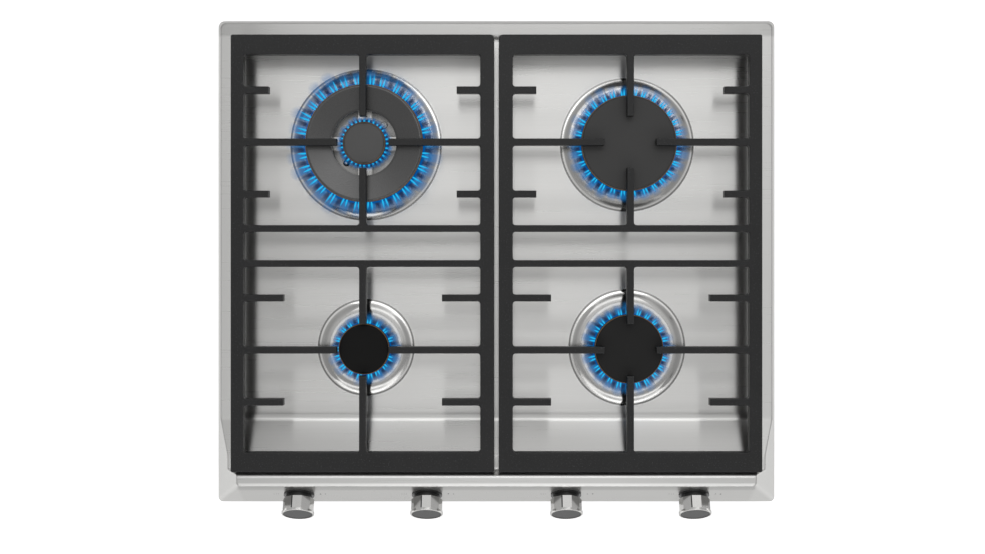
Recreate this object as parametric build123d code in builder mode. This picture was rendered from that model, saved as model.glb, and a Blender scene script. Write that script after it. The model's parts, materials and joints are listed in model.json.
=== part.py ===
"""Built-in gas cooktop, 60 cm class: a pressed steel plate with a raised front rail and a sloping
knob panel, four burners, two cast grates, and the gas train inside its burner box.

Millimetres. X runs along the front, +Y to the back, +Z up. The origin is under the middle of the
whole object, on the underside of the burner box.
"""
import os
from math import atan, cos, degrees, sin

from build123d import *

# ---- plate: outline and levels ----
sheet = 1.0                # steel sheet of the plate and of the box
plate_width = 595.0
plate_depth = 514.0
box_depth = 50.0           # burner box below the worktop
edge_height = 5.0          # turned-down rim above the worktop
plateau_rise = 17.0        # shelf for the grates' front feet, above the rim
ledge_rise = 38.0          # top of the front rail, above the rim
side_run = 27.0            # how far each side leans in over the full height
panel_run = 22.8           # how far the knob panel leans back over the full height
ledge_width = 12.0
riser_lean = 2.3
plateau_width = 14.4
ramp_run = 37.3
ramp_margin = 1.5          # flat strip between the basin and the ramp
rear_corner = 8.0
front_corner = 6.0
edge_round = 2.2           # pressed radius along the outer top edge
ramp_foot_round = 8.0
ramp_head_round = 6.0
riser_foot_round = 3.0
riser_head_round = 2.8

# ---- plate: basin and burner pads ----
basin_margin = 15.0        # plate's edge to the basin, at the sides and the rear
basin_depth = 6.0
basin_wall_run = 7.0
basin_corner = 12.0
pad_rise = 4.0
pad_wall_run = 13.0

# ---- burners ----
rear_row_inset = 117.4     # basin's rear edge to the rear burners
front_row_inset = 74.5     # basin's front edge to the front burners
crown_foot = 1.0           # underside of a crown above the rim
crown_height = 13.0
crown_inset = 2.0          # a cap stands this much proud of its crown
crown_wall = 8.0
crown_floor = 3.0
cap_height = 8.0
cap_round = 3.4
cap_rib = 3.0              # locating rib under a cap
cap_chamfer = 1.0
collar_inset = 12.5        # cap radius less the cup's collar radius
hole_gap = 1.5             # plate hole round the collar
cup_wall = 2.5
cup_floor = 3.0
cup_reach = 30.0           # cup's underside below the rim
flange_inset = 1.5         # cap radius less the cup's flange radius
flange_height = 3.0
skirt_depth = 9.0          # crown's locating skirt inside the collar
skirt_wall = 2.0
lift_clearance = 0.6       # radial play of every lift-off piece
port_width = 1.8
port_height = 6.0
bridge_width = 14.0        # arms between the two rings of the wok crown
bridge_rise = 5.0
bridge_root = 2.0
gas_hole = 1.8             # holes that feed the wok's outer ring
gas_holes = 8
wok_bore = 34.4            # hole in the wok burner's ring cap
wok_centre_cap = 22.7
wok_channel_wall = 4.0
wok_centre_ports = 32
wok_injector_radius = 41.0 # second injector, under the ring

# ---- small burner fittings ----
screw_inset = 7.0          # cap radius less the screw circle
screw_radius = 1.9
screw_head = 3.2
screw_head_height = 1.8
screw_length = 7.0
screw_play = 0.1
probe_inset = 6.0          # cap radius less the igniter's and thermocouple's circle
wok_probe_radius = 28.5
igniter_radius = 3.0
igniter_top = 6.0
igniter_tip = 0.8
igniter_tip_length = 4.0
thermocouple_radius = 2.2
thermocouple_top = 9.0
thermocouple_round = 1.5
probe_tail = 6.0           # length of a probe below the cup
probe_play = 0.05
probe_hole_play = 0.5      # in the plate
notch_width = 8.4          # room in a crown for the igniter or thermocouple
notch_roof = 2.0
injector_flats = 9.0
injector_hex_height = 6.0
injector_nose = 3.0
injector_nose_height = 5.0
injector_bore = 0.6
boss_radius = 7.0
boss_length = 8.0

# ---- grates ----
grate_gap = 4.8            # between the two grates
grate_side_inset = 5.9     # basin's side edge to the grate's outer face
grate_rear_inset = 5.7     # basin's rear edge to the grate
grate_front_gap = 2.9      # rail's rear edge to the grate, in plan
grate_thickness = 12.5
outer_bar = 13.0
inner_bar = 14.5
end_bar = 20.5
cross_bar = 7.0
finger_reach = 27.0        # burner axis to the fingers' tips
rear_stub_tip = 98.0       # grate's middle to a rear stub's tip
front_stub_tip = 82.7
mid_bar_gap = 29.5
grate_corner = 2.0
grate_inner_corner = 4.8   # rear corner beside the other grate
bar_root = 3.0             # radius where two bars meet
grate_edge = 0.9
leg_width = 9.0
leg_depth = 8.0
rear_leg_inset = 2.5       # leg's outer face in from the bar's face
front_leg_inset = 3.2
side_leg_inset = 2.0
foot_height = 1.6
foot_inset = 0.3

# ---- burner box ----
box_inset = 22.5           # plate's edge to the box, at the sides and the rear
box_front_inset = 17.0     # plate's front edge to the box, at worktop level
box_corner = 10.0
inlet_rear_inset = 55.0    # plate's rear edge to the inlet's axis
pocket_size = 52.0
pocket_height = 20.0
clamp_hole_inset = 25.0    # box's side to the clamp holes
clamp_hole_y = 100.0
clamp_hole = 2.25
bracket_width = 20.0
bracket_leg = 15.0
bracket_foot = 9.0
box_screw_radius = 1.95
box_screw_head = 3.6
box_screw_head_height = 1.8
box_screw_length = 8.0
box_screw_drop = 9.0       # basin's underside to a box screw
bracket_front_inset = 112.0
bracket_rear_inset = 72.5
bracket_x = 150.0
seal_width = 7.0
seal_inset = 5.0

# ---- knobs and valves, along each knob's axis from the panel ----
knob_side_inset = 89.3     # plate's edge to the outer knobs
knob_pitch = 134.9         # outer knobs to inner knobs
knob_radius = 17.0
knob_sides = 10
knob_start = 6.0
knob_length = 16.0
knob_ring = 2.6            # round band at the knob's front
knob_facet_inset = 0.7     # facets cut this far inside the round band at their corners
knob_cavity_depth = 7.0
disc_radius = 15.2
disc_recess = 1.4
disc_height = 1.0
disc_play = 0.15
bezel_radius = 16.0
bezel_flange = 1.8
bezel_neck = 13.3
bezel_reach = 7.6
bezel_wall = 3.0
bezel_play = 0.7           # neck inside the knob's cavity
bezel_plug = 6.4
spindle_radius = 4.0
spindle_play = 0.4
spindle_socket = 6.5       # length of spindle beyond the knob's cavity
spindle_flat = 1.0
spindle_grip = 0.05        # play of the spindle in its knob
boss_outer = 7.0
boss_reach = 5.0           # socket boss inside the knob's cavity
knob_edge = 0.8
pointer_angle = 108.0      # corner that carries the pointer groove
pointer_width = 0.9
pointer_depth = 0.6
push_travel = 3.0
push_spare = 0.3
tongue_width = 4.6
tongue_height = 2.0
tongue_length = 7.0
tongue_play = 0.1
plug_radius = 5.0
plug_length = 12.0
plug_play = 0.05
plug_room = 2.0            # chamber ahead of the plug
valve_width = 20.0
valve_front = 10.0
valve_back = 48.0
valve_nose = 8.0
valve_nose_start = 4.0
valve_foot = 5.0
rail_radius = 7.0
rail_wall = 1.5
rail_station = 34.0        # gas rail behind the panel, along the valve's axis
rail_drop = 17.0           # gas rail below the valve's axis
rail_overhang = 17.0       # rail beyond the outer valves
rail_play = 0.05
clamp_half = 13.0
clamp_bottom = 27.0
clamp_chamfer = 6.0
clamp_width = 12.0
clamp_split = 0.3
clamp_screw_offset = 10.0
clamp_screw_length = 11.4
switch_height = 5.0
switch_length = 8.0
switch_width = 14.0
switch_station = 12.0

# ---- pipes, inlet and electrics ----
pipe_radius = 4.0
pipe_wall = 0.8
pipe_play = 0.05
pipe_socket = 6.0
pipe_drop = 22.0           # pipes' level below the rim
pipe_bend = 22.0
pipe_lead = 45.0           # straight run into a rear burner
supply_radius = 5.0
supply_wall = 1.0
supply_bend = 18.0
supply_setback = 21.0      # corner of the supply pipe beyond the rail's end
thread_radius = 10.48      # G 1/2 male thread, over its crests
thread_length = 17.0
thread_bore = 7.0
thread_neck = 9.5          # relief between the elbow block and the thread
elbow_size = 24.0
elbow_top = 6.5            # elbow block above the supply pipe's axis
elbow_bore = 5.0           # upright bore above the thread
spark_size = (50.0, 60.0, 24.0)
spark_side_inset = 60.0    # box's side to the spark generator and the gland
spark_rear_inset = 80.0
gland_drop = 40.0          # gland's axis below the rim
gland_radius = 8.0
gland_flange = 11.0
gland_bore = 3.6
gland_flange_height = 3.0
gland_nut_height = 5.0
gland_play = 0.2

# ---- levels and places that follow ----
worktop_z = box_depth
rim_z = worktop_z + edge_height
floor_z = rim_z - basin_depth
pad_z = floor_z + pad_rise
plateau_z = rim_z + plateau_rise
ledge_z = rim_z + ledge_rise
full_rise = ledge_z - worktop_z
side_slope = side_run / full_rise
panel_slope = panel_run / full_rise
panel_tilt = atan(panel_slope)          # panel off the vertical, knob axis off the horizontal
knob_end = knob_start + knob_length
knob_overhang = (cos(panel_tilt) * (knob_end - knob_edge) + sin(panel_tilt) * (knob_radius - knob_edge)
                 + knob_edge - panel_run / 2)   # knobs' front, ahead of the plate's front edge
front_edge = -(plate_depth + knob_overhang) / 2 + knob_overhang
rear_edge = front_edge + plate_depth
ledge_front = front_edge + panel_run
ledge_back = ledge_front + ledge_width
riser_foot = ledge_back + riser_lean
ramp_head = riser_foot + plateau_width
ramp_foot = ramp_head + ramp_run
basin_width = plate_width - 2 * basin_margin
basin_front = ramp_foot + ramp_margin
basin_rear = rear_edge - basin_margin
rear_row = basin_rear - rear_row_inset
front_row = basin_front + front_row_inset
crown_z = rim_z + crown_foot
cap_z = crown_z + crown_height
cup_z = rim_z - cup_reach
flange_top = pad_z - sheet
grate_z = ledge_z - grate_thickness
grate_front = ledge_back + grate_front_gap
grate_rear = basin_rear - grate_rear_inset
grate_depth = grate_rear - grate_front
grate_width = (basin_width - grate_gap) / 2 - grate_side_inset
burner_x = (grate_gap + grate_width) / 2         # burner and grate centres, each side of the middle
stub_offset = (rear_row - front_row) / 4         # stubs halfway from the fingers to the grate's middle
box_top = floor_z - sheet
box_width = plate_width - 2 * box_inset
box_front = front_edge + box_front_inset
box_rear = rear_edge - box_inset
box_y = (box_front + box_rear) / 2
box_length = box_rear - box_front
panel_y = front_edge + panel_run / 2
panel_z = (worktop_z + ledge_z) / 2
pipe_z = rim_z - pipe_drop
clamp_hole_x = box_width / 2 - clamp_hole_inset
bracket_y = (box_front + bracket_front_inset, box_rear - bracket_rear_inset)
spark_x = spark_side_inset - box_width / 2
outer_knob = plate_width / 2 - knob_side_inset
inner_knob = outer_knob - knob_pitch
knob_x = (-outer_knob, -inner_knob, inner_knob, outer_knob)
below = 20.0               # how far the forms run on below the rim before they are trimmed
through = 4 * sheet        # cuts through one sheet, from either side

# place, cap radius, pad's outer radius, number of flame ports, and knob counted from the left
burners = {
    "wok": {"x": -burner_x, "y": rear_row, "cap": 62.2, "pad": 81.5, "ports": 30, "knob": 1},
    "rapid": {"x": burner_x, "y": rear_row, "cap": 50.5, "pad": 72.0, "ports": 30, "knob": 2},
    "auxiliary": {"x": -burner_x, "y": front_row, "cap": 27.0, "pad": 52.2, "ports": 18, "knob": 0},
    "semi_rapid": {"x": burner_x, "y": front_row, "cap": 36.5, "pad": 62.9, "ports": 24, "knob": 3},
}
for burner in burners.values():
    burner["side"] = burner["y"] == front_row          # its pipe arrives from the side, not the front
    burner["probe"] = burner["cap"] - probe_inset
burners["wok"]["probe"] = wok_probe_radius


# ---------------------------------------------------------------------------------------------
# helpers
# ---------------------------------------------------------------------------------------------
os.makedirs("parts", exist_ok=True)


def save(piece, node):
    """Label a finished sub-part and write its STEP file."""
    piece.part.label = node
    export_step(piece.part, f"parts/{node}.step")
    print(node, len(piece.part.solids()), round(piece.part.volume))


def upright(burner):
    """Vertical plane through a burner's axis, for its turned profiles: X radial, Y up."""
    return Plane(origin=(burner["x"], burner["y"], 0), x_dir=(1, 0, 0), z_dir=(0, -1, 0))


def axis_of(burner):
    """Vertical axis of a burner."""
    return Axis((burner["x"], burner["y"], 0), (0, 0, 1))


def level(burner, height):
    """Horizontal plane at a burner's axis."""
    return Plane(origin=(burner["x"], burner["y"], height))


def knob_plane(x, station=0.0):
    """Plane square to a knob's axis: Z out of the panel, Y up the panel."""
    panel = Plane(origin=(x, panel_y, panel_z), x_dir=(1, 0, 0),
                  z_dir=(0, -cos(panel_tilt), sin(panel_tilt)))
    return panel.offset(station)


def knob_side(x):
    """Plane along a knob's axis, seen from the side: X out of the panel, Y up the panel."""
    panel = knob_plane(x)
    return Plane(origin=panel.origin, x_dir=panel.z_dir, z_dir=panel.x_dir * -1)


def bend(run, rise):
    """Turn, in radians, and radius of the two equal arcs that join two levels."""
    turn = 2 * atan(rise / run)
    return turn, run / (2 * sin(turn))


# ---------------------------------------------------------------------------------------------
# hob plate
# ---------------------------------------------------------------------------------------------
def plate_outline(inset):
    """Solid under the plate's outer skin, without the basin; inset gives the inner skin."""
    base = rim_z - below - inset
    side_drop = (worktop_z - base) * side_slope
    panel_drop = (worktop_z - base) * panel_slope
    half = plate_width / 2
    with BuildPart() as outline:
        with BuildSketch(Plane.YZ) as profile:
            with BuildLine():
                Polyline(
                    (rear_edge + side_drop, base),
                    (rear_edge - edge_height * side_slope, rim_z),
                    (ramp_foot, rim_z),
                    (ramp_head, plateau_z),
                    (riser_foot, plateau_z),
                    (ledge_back, ledge_z),
                    (ledge_front, ledge_z),
                    (front_edge - panel_drop, base),
                    close=True,
                )
            make_face()
            for point, radius in (
                ((ramp_foot, rim_z), ramp_foot_round),
                ((ramp_head, plateau_z), ramp_head_round),
                ((riser_foot, plateau_z), riser_foot_round),
                ((ledge_back, ledge_z), riser_head_round),
            ):
                fillet(profile.vertices().sort_by_distance((*point, 0))[0], radius)
            if inset:
                offset(amount=-inset, kind=Kind.INTERSECTION)
        extrude(amount=plate_width, both=True)
        with BuildSketch(Plane.XZ):
            with BuildLine():
                Polyline(
                    (-half - side_drop, base),
                    (-half + side_run, ledge_z),
                    (half - side_run, ledge_z),
                    (half + side_drop, base),
                    close=True,
                )
            make_face()
            if inset:
                offset(amount=-inset, kind=Kind.INTERSECTION)
        extrude(amount=plate_depth, both=True, mode=Mode.INTERSECT)
        corners = outline.edges().filter_by(
            lambda edge: abs(edge.tangent_at(0).X) > 0.1
            and abs(edge.tangent_at(0).Y) > 0.1
            and abs(edge.tangent_at(0).Z) > 0.1
        )
        fillet(corners.filter_by(lambda edge: edge.center().Y > 0), rear_corner - inset)
        corners = outline.edges().filter_by(
            lambda edge: edge.center().Y < ledge_front
            and abs(edge.tangent_at(0).X) > 0.1
            and abs(edge.tangent_at(0).Z) > 0.1
        )
        fillet(corners, front_corner - inset)
        top_loop = outline.edges().filter_by(is_top_edge)
        fillet(top_loop, edge_round - inset)
    return outline.part


def is_top_edge(edge):
    """An edge of the outer loop between the plate's top faces and its sloping sides."""
    top, sides = False, False
    for face in edge.topo_parent.faces():
        if edge not in face.edges():
            continue
        normal = face.normal_at(edge.position_at(0.5))
        top = top or abs(normal.X) < 1e-4 and normal.Z > 0.2 and normal.Y > -0.6
        sides = sides or abs(normal.X) > 0.05 or normal.Z < 0.6
    return top and sides


def bend_strip(plane, run, rise):
    """Section of sheet that climbs from the plane's origin to rise over run, in two equal arcs."""
    turn, radius = bend(run, rise)
    with BuildSketch(plane) as strip:
        with BuildLine():
            low = CenterArc((0, radius), radius, -90, degrees(turn))
            high = CenterArc((run, rise - radius), radius, 90, degrees(turn))
            under_low = CenterArc((0, radius), radius + sheet, -90, degrees(turn))
            under_high = CenterArc((run, rise - radius), radius - sheet, 90, degrees(turn))
            Line(low @ 0, under_low @ 0)
            Line(high @ 0, under_high @ 0)
        make_face()
    return strip.sketch


outer_skin = plate_outline(0)
inner_skin = plate_outline(sheet)
floor_width = basin_width - 2 * basin_wall_run
floor_length = basin_rear - basin_front - 2 * basin_wall_run
basin_y = (basin_rear + basin_front) / 2
wall_strip = bend_strip(
    Plane((0, basin_y - floor_length / 2, floor_z), x_dir=(0, -1, 0), z_dir=(-1, 0, 0)),
    basin_wall_run, basin_depth,
)
with BuildPart() as hob_plate:
    add(outer_skin)
    add(inner_skin, mode=Mode.SUBTRACT)
    # the turned-down sides end at the worktop
    with BuildSketch(Plane.XY.offset(worktop_z)):
        Rectangle(2 * plate_width, 2 * plate_depth)
    extrude(amount=-3 * below, mode=Mode.SUBTRACT)
    with BuildSketch(Plane((0, basin_y, worktop_z))):
        RectangleRounded(basin_width, basin_rear - basin_front, basin_corner)
    extrude(amount=full_rise, mode=Mode.SUBTRACT)
    with BuildSketch(Plane((0, basin_y, floor_z))) as floor:
        RectangleRounded(floor_width, floor_length, basin_corner - basin_wall_run)
    extrude(amount=-sheet)
    sweep(wall_strip, path=floor.sketch.wire())
    for burner in burners.values():
        outer = burner["pad"]
        inner = outer - pad_wall_run
        with BuildSketch(level(burner, floor_z)):
            Circle(outer)
        extrude(amount=-sheet, mode=Mode.SUBTRACT)
        with BuildSketch(level(burner, pad_z)):
            Circle(inner)
        extrude(amount=-sheet)
        pad_strip = bend_strip(
            Plane((burner["x"] + outer, burner["y"], floor_z), x_dir=(-1, 0, 0), z_dir=(0, 1, 0)),
            pad_wall_run, pad_rise,
        )
        revolve(pad_strip, axis=axis_of(burner))
        cap = burner["cap"]
        with BuildSketch(level(burner, pad_z + sheet)):
            Circle(cap - collar_inset + hole_gap)
            with PolarLocations(cap - screw_inset, 4):
                Circle(screw_radius + screw_play)
            if burner["probe"] > cap - collar_inset:
                with PolarLocations(burner["probe"], 2, start_angle=45):
                    Circle(igniter_radius + probe_hole_play)
        extrude(amount=-through, mode=Mode.SUBTRACT)
    for x in knob_x:
        with BuildSketch(knob_plane(x, 2 * sheet)):
            Circle(bezel_plug + probe_play)
        extrude(amount=-through, mode=Mode.SUBTRACT)
save(hob_plate, "hob_plate")

# ---------------------------------------------------------------------------------------------
# rim seal, burner box and its fixings
# ---------------------------------------------------------------------------------------------
rail_end = knob_x[-1] + rail_overhang
inlet_x = rail_end + supply_setback
seal_x = plate_width - 2 * seal_inset
seal_y = plate_depth - 2 * seal_inset
plate_y = (front_edge + rear_edge) / 2
with BuildPart() as rim_seal:
    with BuildSketch(Plane((0, plate_y, worktop_z))):
        RectangleRounded(seal_x, seal_y, rear_corner)
        RectangleRounded(seal_x - 2 * seal_width, seal_y - 2 * seal_width, rear_corner / 2,
                         mode=Mode.SUBTRACT)
    extrude(amount=edge_height - sheet)
save(rim_seal, "rim_seal")

inlet_y = rear_edge - inlet_rear_inset
screw_z = box_top - box_screw_drop
bracket_places = []        # place on the box wall and the wall's outward direction
for x_sign in (-1, 1):
    for y in bracket_y:
        bracket_places.append(((x_sign * box_width / 2, y, screw_z), (x_sign, 0, 0)))
    bracket_places.append(((x_sign * bracket_x, box_rear, screw_z), (0, 1, 0)))


def wall_plane(place):
    """Plane on the outer face of the box wall: Z outwards, Y up."""
    spot, outward = place
    return Plane(origin=spot, x_dir=Vector(0, 0, 1).cross(Vector(*outward)) * -1, z_dir=outward)


with BuildPart() as burner_box:
    with BuildSketch(Plane((0, box_y, 0))):
        RectangleRounded(box_width, box_length, box_corner)
    extrude(amount=box_top)
    with BuildSketch(Plane((0, box_y, sheet))):
        RectangleRounded(box_width - 2 * sheet, box_length - 2 * sheet, box_corner - sheet)
    extrude(amount=box_top, mode=Mode.SUBTRACT)
    # raised pocket that keeps the gas inlet above the underside
    with BuildSketch(Plane((inlet_x, inlet_y, 0))):
        Rectangle(pocket_size, pocket_size)
    extrude(amount=pocket_height)
    with BuildSketch(Plane((inlet_x, inlet_y, 0))):
        Rectangle(pocket_size - 2 * sheet, pocket_size - 2 * sheet)
    extrude(amount=pocket_height - sheet, mode=Mode.SUBTRACT)
    with Locations((inlet_x, inlet_y, pocket_height)):
        Hole(thread_radius + gland_play, 2 * sheet)
    with Locations((0, 0, sheet)):
        with GridLocations(2 * clamp_hole_x, 2 * clamp_hole_y, 2, 2):
            Hole(clamp_hole, 2 * sheet)
    for place in bracket_places:
        with BuildSketch(wall_plane(place)):
            Circle(box_screw_radius + screw_play)
        extrude(amount=-2 * sheet, mode=Mode.SUBTRACT)
    with BuildSketch(wall_plane(((spark_x, box_rear, rim_z - gland_drop), (0, 1, 0)))):
        Circle(gland_radius + gland_play)
    extrude(amount=-2 * sheet, mode=Mode.SUBTRACT)
save(burner_box, "burner_box")

with BuildPart() as plate_brackets:
    for place in bracket_places:
        wall = wall_plane(place)
        with BuildSketch(wall.offset(-sheet)):
            with Locations((0, box_screw_drop - bracket_leg / 2)):
                Rectangle(bracket_width, bracket_leg)
            Circle(box_screw_radius + screw_play / 2, mode=Mode.SUBTRACT)
        extrude(amount=-sheet)
        with BuildSketch(wall.offset(-2 * sheet)):
            with Locations((0, box_screw_drop - sheet / 2)):
                Rectangle(bracket_width, sheet)
        extrude(amount=sheet - bracket_foot)
save(plate_brackets, "plate_brackets")

with BuildPart() as box_screws:
    for place in bracket_places:
        with BuildSketch(wall_plane(place)):
            Circle(box_screw_head)
        extrude(amount=box_screw_head_height, taper=20)
        with BuildSketch(wall_plane(place)):
            Circle(box_screw_radius)
        extrude(amount=-box_screw_length)
save(box_screws, "box_screws")

# ---------------------------------------------------------------------------------------------
# burners: cups, screws, crowns, caps, injectors, igniters and thermocouples
# ---------------------------------------------------------------------------------------------
def cup_side(burner):
    """Plane across a cup's pipe boss, on the burner's axis: Z out towards the pipe."""
    outward = (1 if burner["x"] > 0 else -1, 0, 0) if burner["side"] else (0, -1, 0)
    return Plane(origin=(burner["x"], burner["y"], pipe_z), x_dir=(0, 0, 1), z_dir=outward)


for name, burner in burners.items():
    cap = burner["cap"]
    collar = cap - collar_inset
    flange = cap - flange_inset
    with BuildPart() as cup:
        with BuildSketch(upright(burner)):
            with BuildLine():
                Polyline(
                    (0, cup_z), (collar, cup_z), (collar, flange_top - flange_height),
                    (flange, flange_top - flange_height), (flange, flange_top), (collar, flange_top),
                    (collar, crown_z), (collar - cup_wall, crown_z),
                    (collar - cup_wall, cup_z + cup_floor), (0, cup_z + cup_floor),
                    close=True,
                )
            make_face()
        revolve(axis=axis_of(burner))
        with BuildSketch(cup_side(burner).offset(collar - cup_wall / 2)):
            Circle(boss_radius)
        extrude(amount=boss_length + cup_wall / 2)
        with BuildSketch(cup_side(burner).offset(collar - 2 * cup_wall)):
            Circle(pipe_radius - pipe_wall)
        extrude(amount=3 * cup_wall, mode=Mode.SUBTRACT)
        with BuildSketch(cup_side(burner).offset(collar + boss_length - pipe_socket)):
            Circle(pipe_radius + pipe_play)
        extrude(amount=pipe_socket, mode=Mode.SUBTRACT)
        with BuildSketch(level(burner, flange_top)):
            with PolarLocations(cap - screw_inset, 4):
                Circle(screw_radius + screw_play / 2)
            with PolarLocations(burner["probe"], 1, start_angle=45):
                Circle(igniter_radius + probe_play)
            with PolarLocations(burner["probe"], 1, start_angle=225):
                Circle(thermocouple_radius + probe_play)
        extrude(amount=cup_z - flange_top, mode=Mode.SUBTRACT)
    save(cup, f"burner_cup_{name}")

with BuildPart() as burner_screws:
    for burner in burners.values():
        with BuildSketch(level(burner, pad_z)):
            with PolarLocations(burner["cap"] - screw_inset, 4):
                Circle(screw_head)
        extrude(amount=screw_head_height)
        with BuildSketch(level(burner, pad_z)):
            with PolarLocations(burner["cap"] - screw_inset, 4):
                Circle(screw_radius)
        extrude(amount=-screw_length)
save(burner_screws, "burner_screws")


def ring_section(inner, outer, low, high):
    """Rectangle of a turned ring, drawn in an upright plane."""
    with Locations(((inner + outer) / 2, (low + high) / 2)):
        Rectangle(outer - inner, high - low)


for name, burner in burners.items():
    cap = burner["cap"]
    crown = cap - crown_inset
    skirt = cap - collar_inset - cup_wall - lift_clearance
    crown_top = crown_z + crown_height
    with BuildPart() as spreader:
        with BuildSketch(upright(burner)):
            ring_section(crown - crown_wall, crown, crown_z, crown_top)
            ring_section(skirt - skirt_wall, skirt, crown_z - skirt_depth, crown_z)
            if name == "wok":
                channel = wok_bore + crown_inset
                ring_section(channel, channel + wok_channel_wall, crown_z, crown_top)
                centre = wok_centre_cap - crown_inset
                ring_section(centre - wok_channel_wall, centre, crown_z, crown_top)
                ring_section(injector_flats, crown, crown_z, crown_z + crown_floor)
            else:
                ring_section(skirt / 2, crown, crown_z, crown_z + crown_floor)
        revolve(axis=axis_of(burner))
        if name == "wok":
            with BuildSketch(level(burner, crown_z)):
                with PolarLocations((centre + channel) / 2, 4):
                    Rectangle(channel - centre + bridge_root, bridge_width)
            extrude(amount=crown_floor + bridge_rise)
            with BuildSketch(level(burner, crown_z)):
                with PolarLocations(burner["probe"], 2, start_angle=45):
                    Circle(igniter_radius + probe_hole_play)
                with PolarLocations((channel + wok_channel_wall + skirt - skirt_wall) / 2, gas_holes):
                    Circle(gas_hole)
            extrude(amount=crown_floor, mode=Mode.SUBTRACT)
            with BuildSketch(level(burner, crown_top - port_height)):
                with PolarLocations(centre, wok_centre_ports):
                    Rectangle(3 * wok_channel_wall, port_width)
            extrude(amount=port_height, mode=Mode.SUBTRACT)
        else:
            with BuildSketch(level(burner, crown_z - skirt_depth)):
                with PolarLocations(burner["probe"] + notch_width, 2, start_angle=45):
                    SlotOverall(3 * notch_width, notch_width)
            extrude(amount=skirt_depth + crown_height - notch_roof, mode=Mode.SUBTRACT)
        with BuildSketch(level(burner, crown_top - port_height)):
            with PolarLocations(crown, burner["ports"]):
                Rectangle(3 * crown_wall, port_width)
        extrude(amount=port_height, mode=Mode.SUBTRACT)
    save(spreader, f"crown_{name}")


def save_cap(burner, node, inner, outer, rib_outer):
    """Turn and save one cap: rounded upper edge, and a rib that drops inside its crown's wall."""
    top = cap_z + cap_height
    rib = rib_outer - lift_clearance
    with BuildPart() as lid:
        with BuildSketch(upright(burner)):
            with BuildLine():
                edge = CenterArc((outer - cap_round, top - cap_round), cap_round, 0, 90)
                Polyline(edge @ 1, (inner, top), (inner, cap_z), (rib - skirt_wall, cap_z),
                         (rib - skirt_wall, cap_z - cap_rib), (rib, cap_z - cap_rib), (rib, cap_z),
                         (outer - cap_chamfer, cap_z), (outer, cap_z + cap_chamfer), edge @ 0)
            make_face()
        revolve(axis=axis_of(burner))
    save(lid, node)


for name, burner in burners.items():
    inside = burner["cap"] - crown_inset - crown_wall
    if name == "wok":
        save_cap(burner, "cap_wok_ring", wok_bore, burner["cap"], inside)
        save_cap(burner, "cap_wok_centre", 0, wok_centre_cap, wok_centre_cap - crown_inset - wok_channel_wall)
    else:
        save_cap(burner, f"cap_{name}", 0, burner["cap"], inside)

with BuildPart() as injectors:
    for name, burner in burners.items():
        centres = [(0, 0), (-wok_injector_radius, 0)] if name == "wok" else [(0, 0)]
        foot = cup_z + cup_floor
        for radius, sides, low, high in (
            (injector_flats / 2, 6, foot, foot + injector_hex_height),
            (injector_nose, 0, foot + injector_hex_height, foot + injector_hex_height + injector_nose_height),
        ):
            with BuildSketch(level(burner, low)):
                with Locations(*centres):
                    if sides:
                        RegularPolygon(radius, sides, major_radius=False)
                    else:
                        Circle(radius)
                    Circle(injector_bore, mode=Mode.SUBTRACT)
            extrude(amount=high - low)
save(injectors, "injectors")


def probe_place(burner, angle):
    """Foot of an igniter or thermocouple, just below its cup's flange or floor."""
    inside_collar = burner["probe"] < burner["cap"] - collar_inset
    underside = cup_z if inside_collar else flange_top - flange_height
    return Plane(origin=(burner["x"], burner["y"], underside - probe_tail)), angle


with BuildPart() as igniters:
    for burner in burners.values():
        foot, angle = probe_place(burner, 45)
        with BuildSketch(foot):
            with PolarLocations(burner["probe"], 1, start_angle=angle):
                Circle(igniter_radius)
        extrude(amount=rim_z + igniter_top - foot.origin.Z)
        with BuildSketch(level(burner, rim_z + igniter_top)):
            with PolarLocations(burner["probe"], 1, start_angle=angle):
                Circle(igniter_tip)
        extrude(amount=igniter_tip_length)
save(igniters, "igniters")

with BuildPart() as thermocouples:
    for burner in burners.values():
        foot, angle = probe_place(burner, 225)
        with BuildSketch(foot):
            with PolarLocations(burner["probe"], 1, start_angle=angle):
                Circle(thermocouple_radius)
        extrude(amount=rim_z + thermocouple_top - foot.origin.Z)
    fillet(thermocouples.edges().group_by(Axis.Z)[-1], thermocouple_round)
save(thermocouples, "thermocouples")

# ---------------------------------------------------------------------------------------------
# gas rail, valves, spindles, knobs
# ---------------------------------------------------------------------------------------------
rail_spot = knob_plane(0).from_local_coords((0, -rail_drop, -rail_station))
rail_start = knob_x[0] - rail_overhang


def rail_plane(x):
    """Plane square to the gas rail."""
    return Plane(origin=(x, rail_spot.Y, rail_spot.Z), x_dir=(0, 1, 0), z_dir=(1, 0, 0))


def rail_port(x):
    """Plane on the gas rail's axis, facing up into a valve."""
    return Plane(origin=(x, rail_spot.Y, rail_spot.Z), x_dir=(1, 0, 0), z_dir=knob_plane(x).y_dir)


with BuildPart() as gas_rail:
    with BuildSketch(rail_plane(rail_start)):
        Circle(rail_radius)
    extrude(amount=rail_end - rail_start)
    with BuildSketch(rail_plane(rail_start + rail_wall)):
        Circle(rail_radius - rail_wall)
    extrude(amount=rail_end - rail_start - 2 * rail_wall, mode=Mode.SUBTRACT)
    with BuildSketch(rail_plane(rail_end)):
        Circle(supply_radius + pipe_play)
    extrude(amount=-2 * rail_wall, mode=Mode.SUBTRACT)
    for x in knob_x:
        with BuildSketch(rail_port(x)):
            Circle(rail_wall)
        extrude(amount=2 * rail_radius, mode=Mode.SUBTRACT)
save(gas_rail, "gas_rail")

valve_names = sorted(burners, key=lambda name: burners[name]["knob"])
valve_half = valve_width / 2
foot_low = -valve_half - valve_foot
plug_front = plug_length / 2 - rail_station
plug_back = plug_front - plug_length
chamber_front = plug_front + plug_room
clamp_screw_stations = (-rail_station - clamp_screw_offset, -rail_station + clamp_screw_offset)

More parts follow.
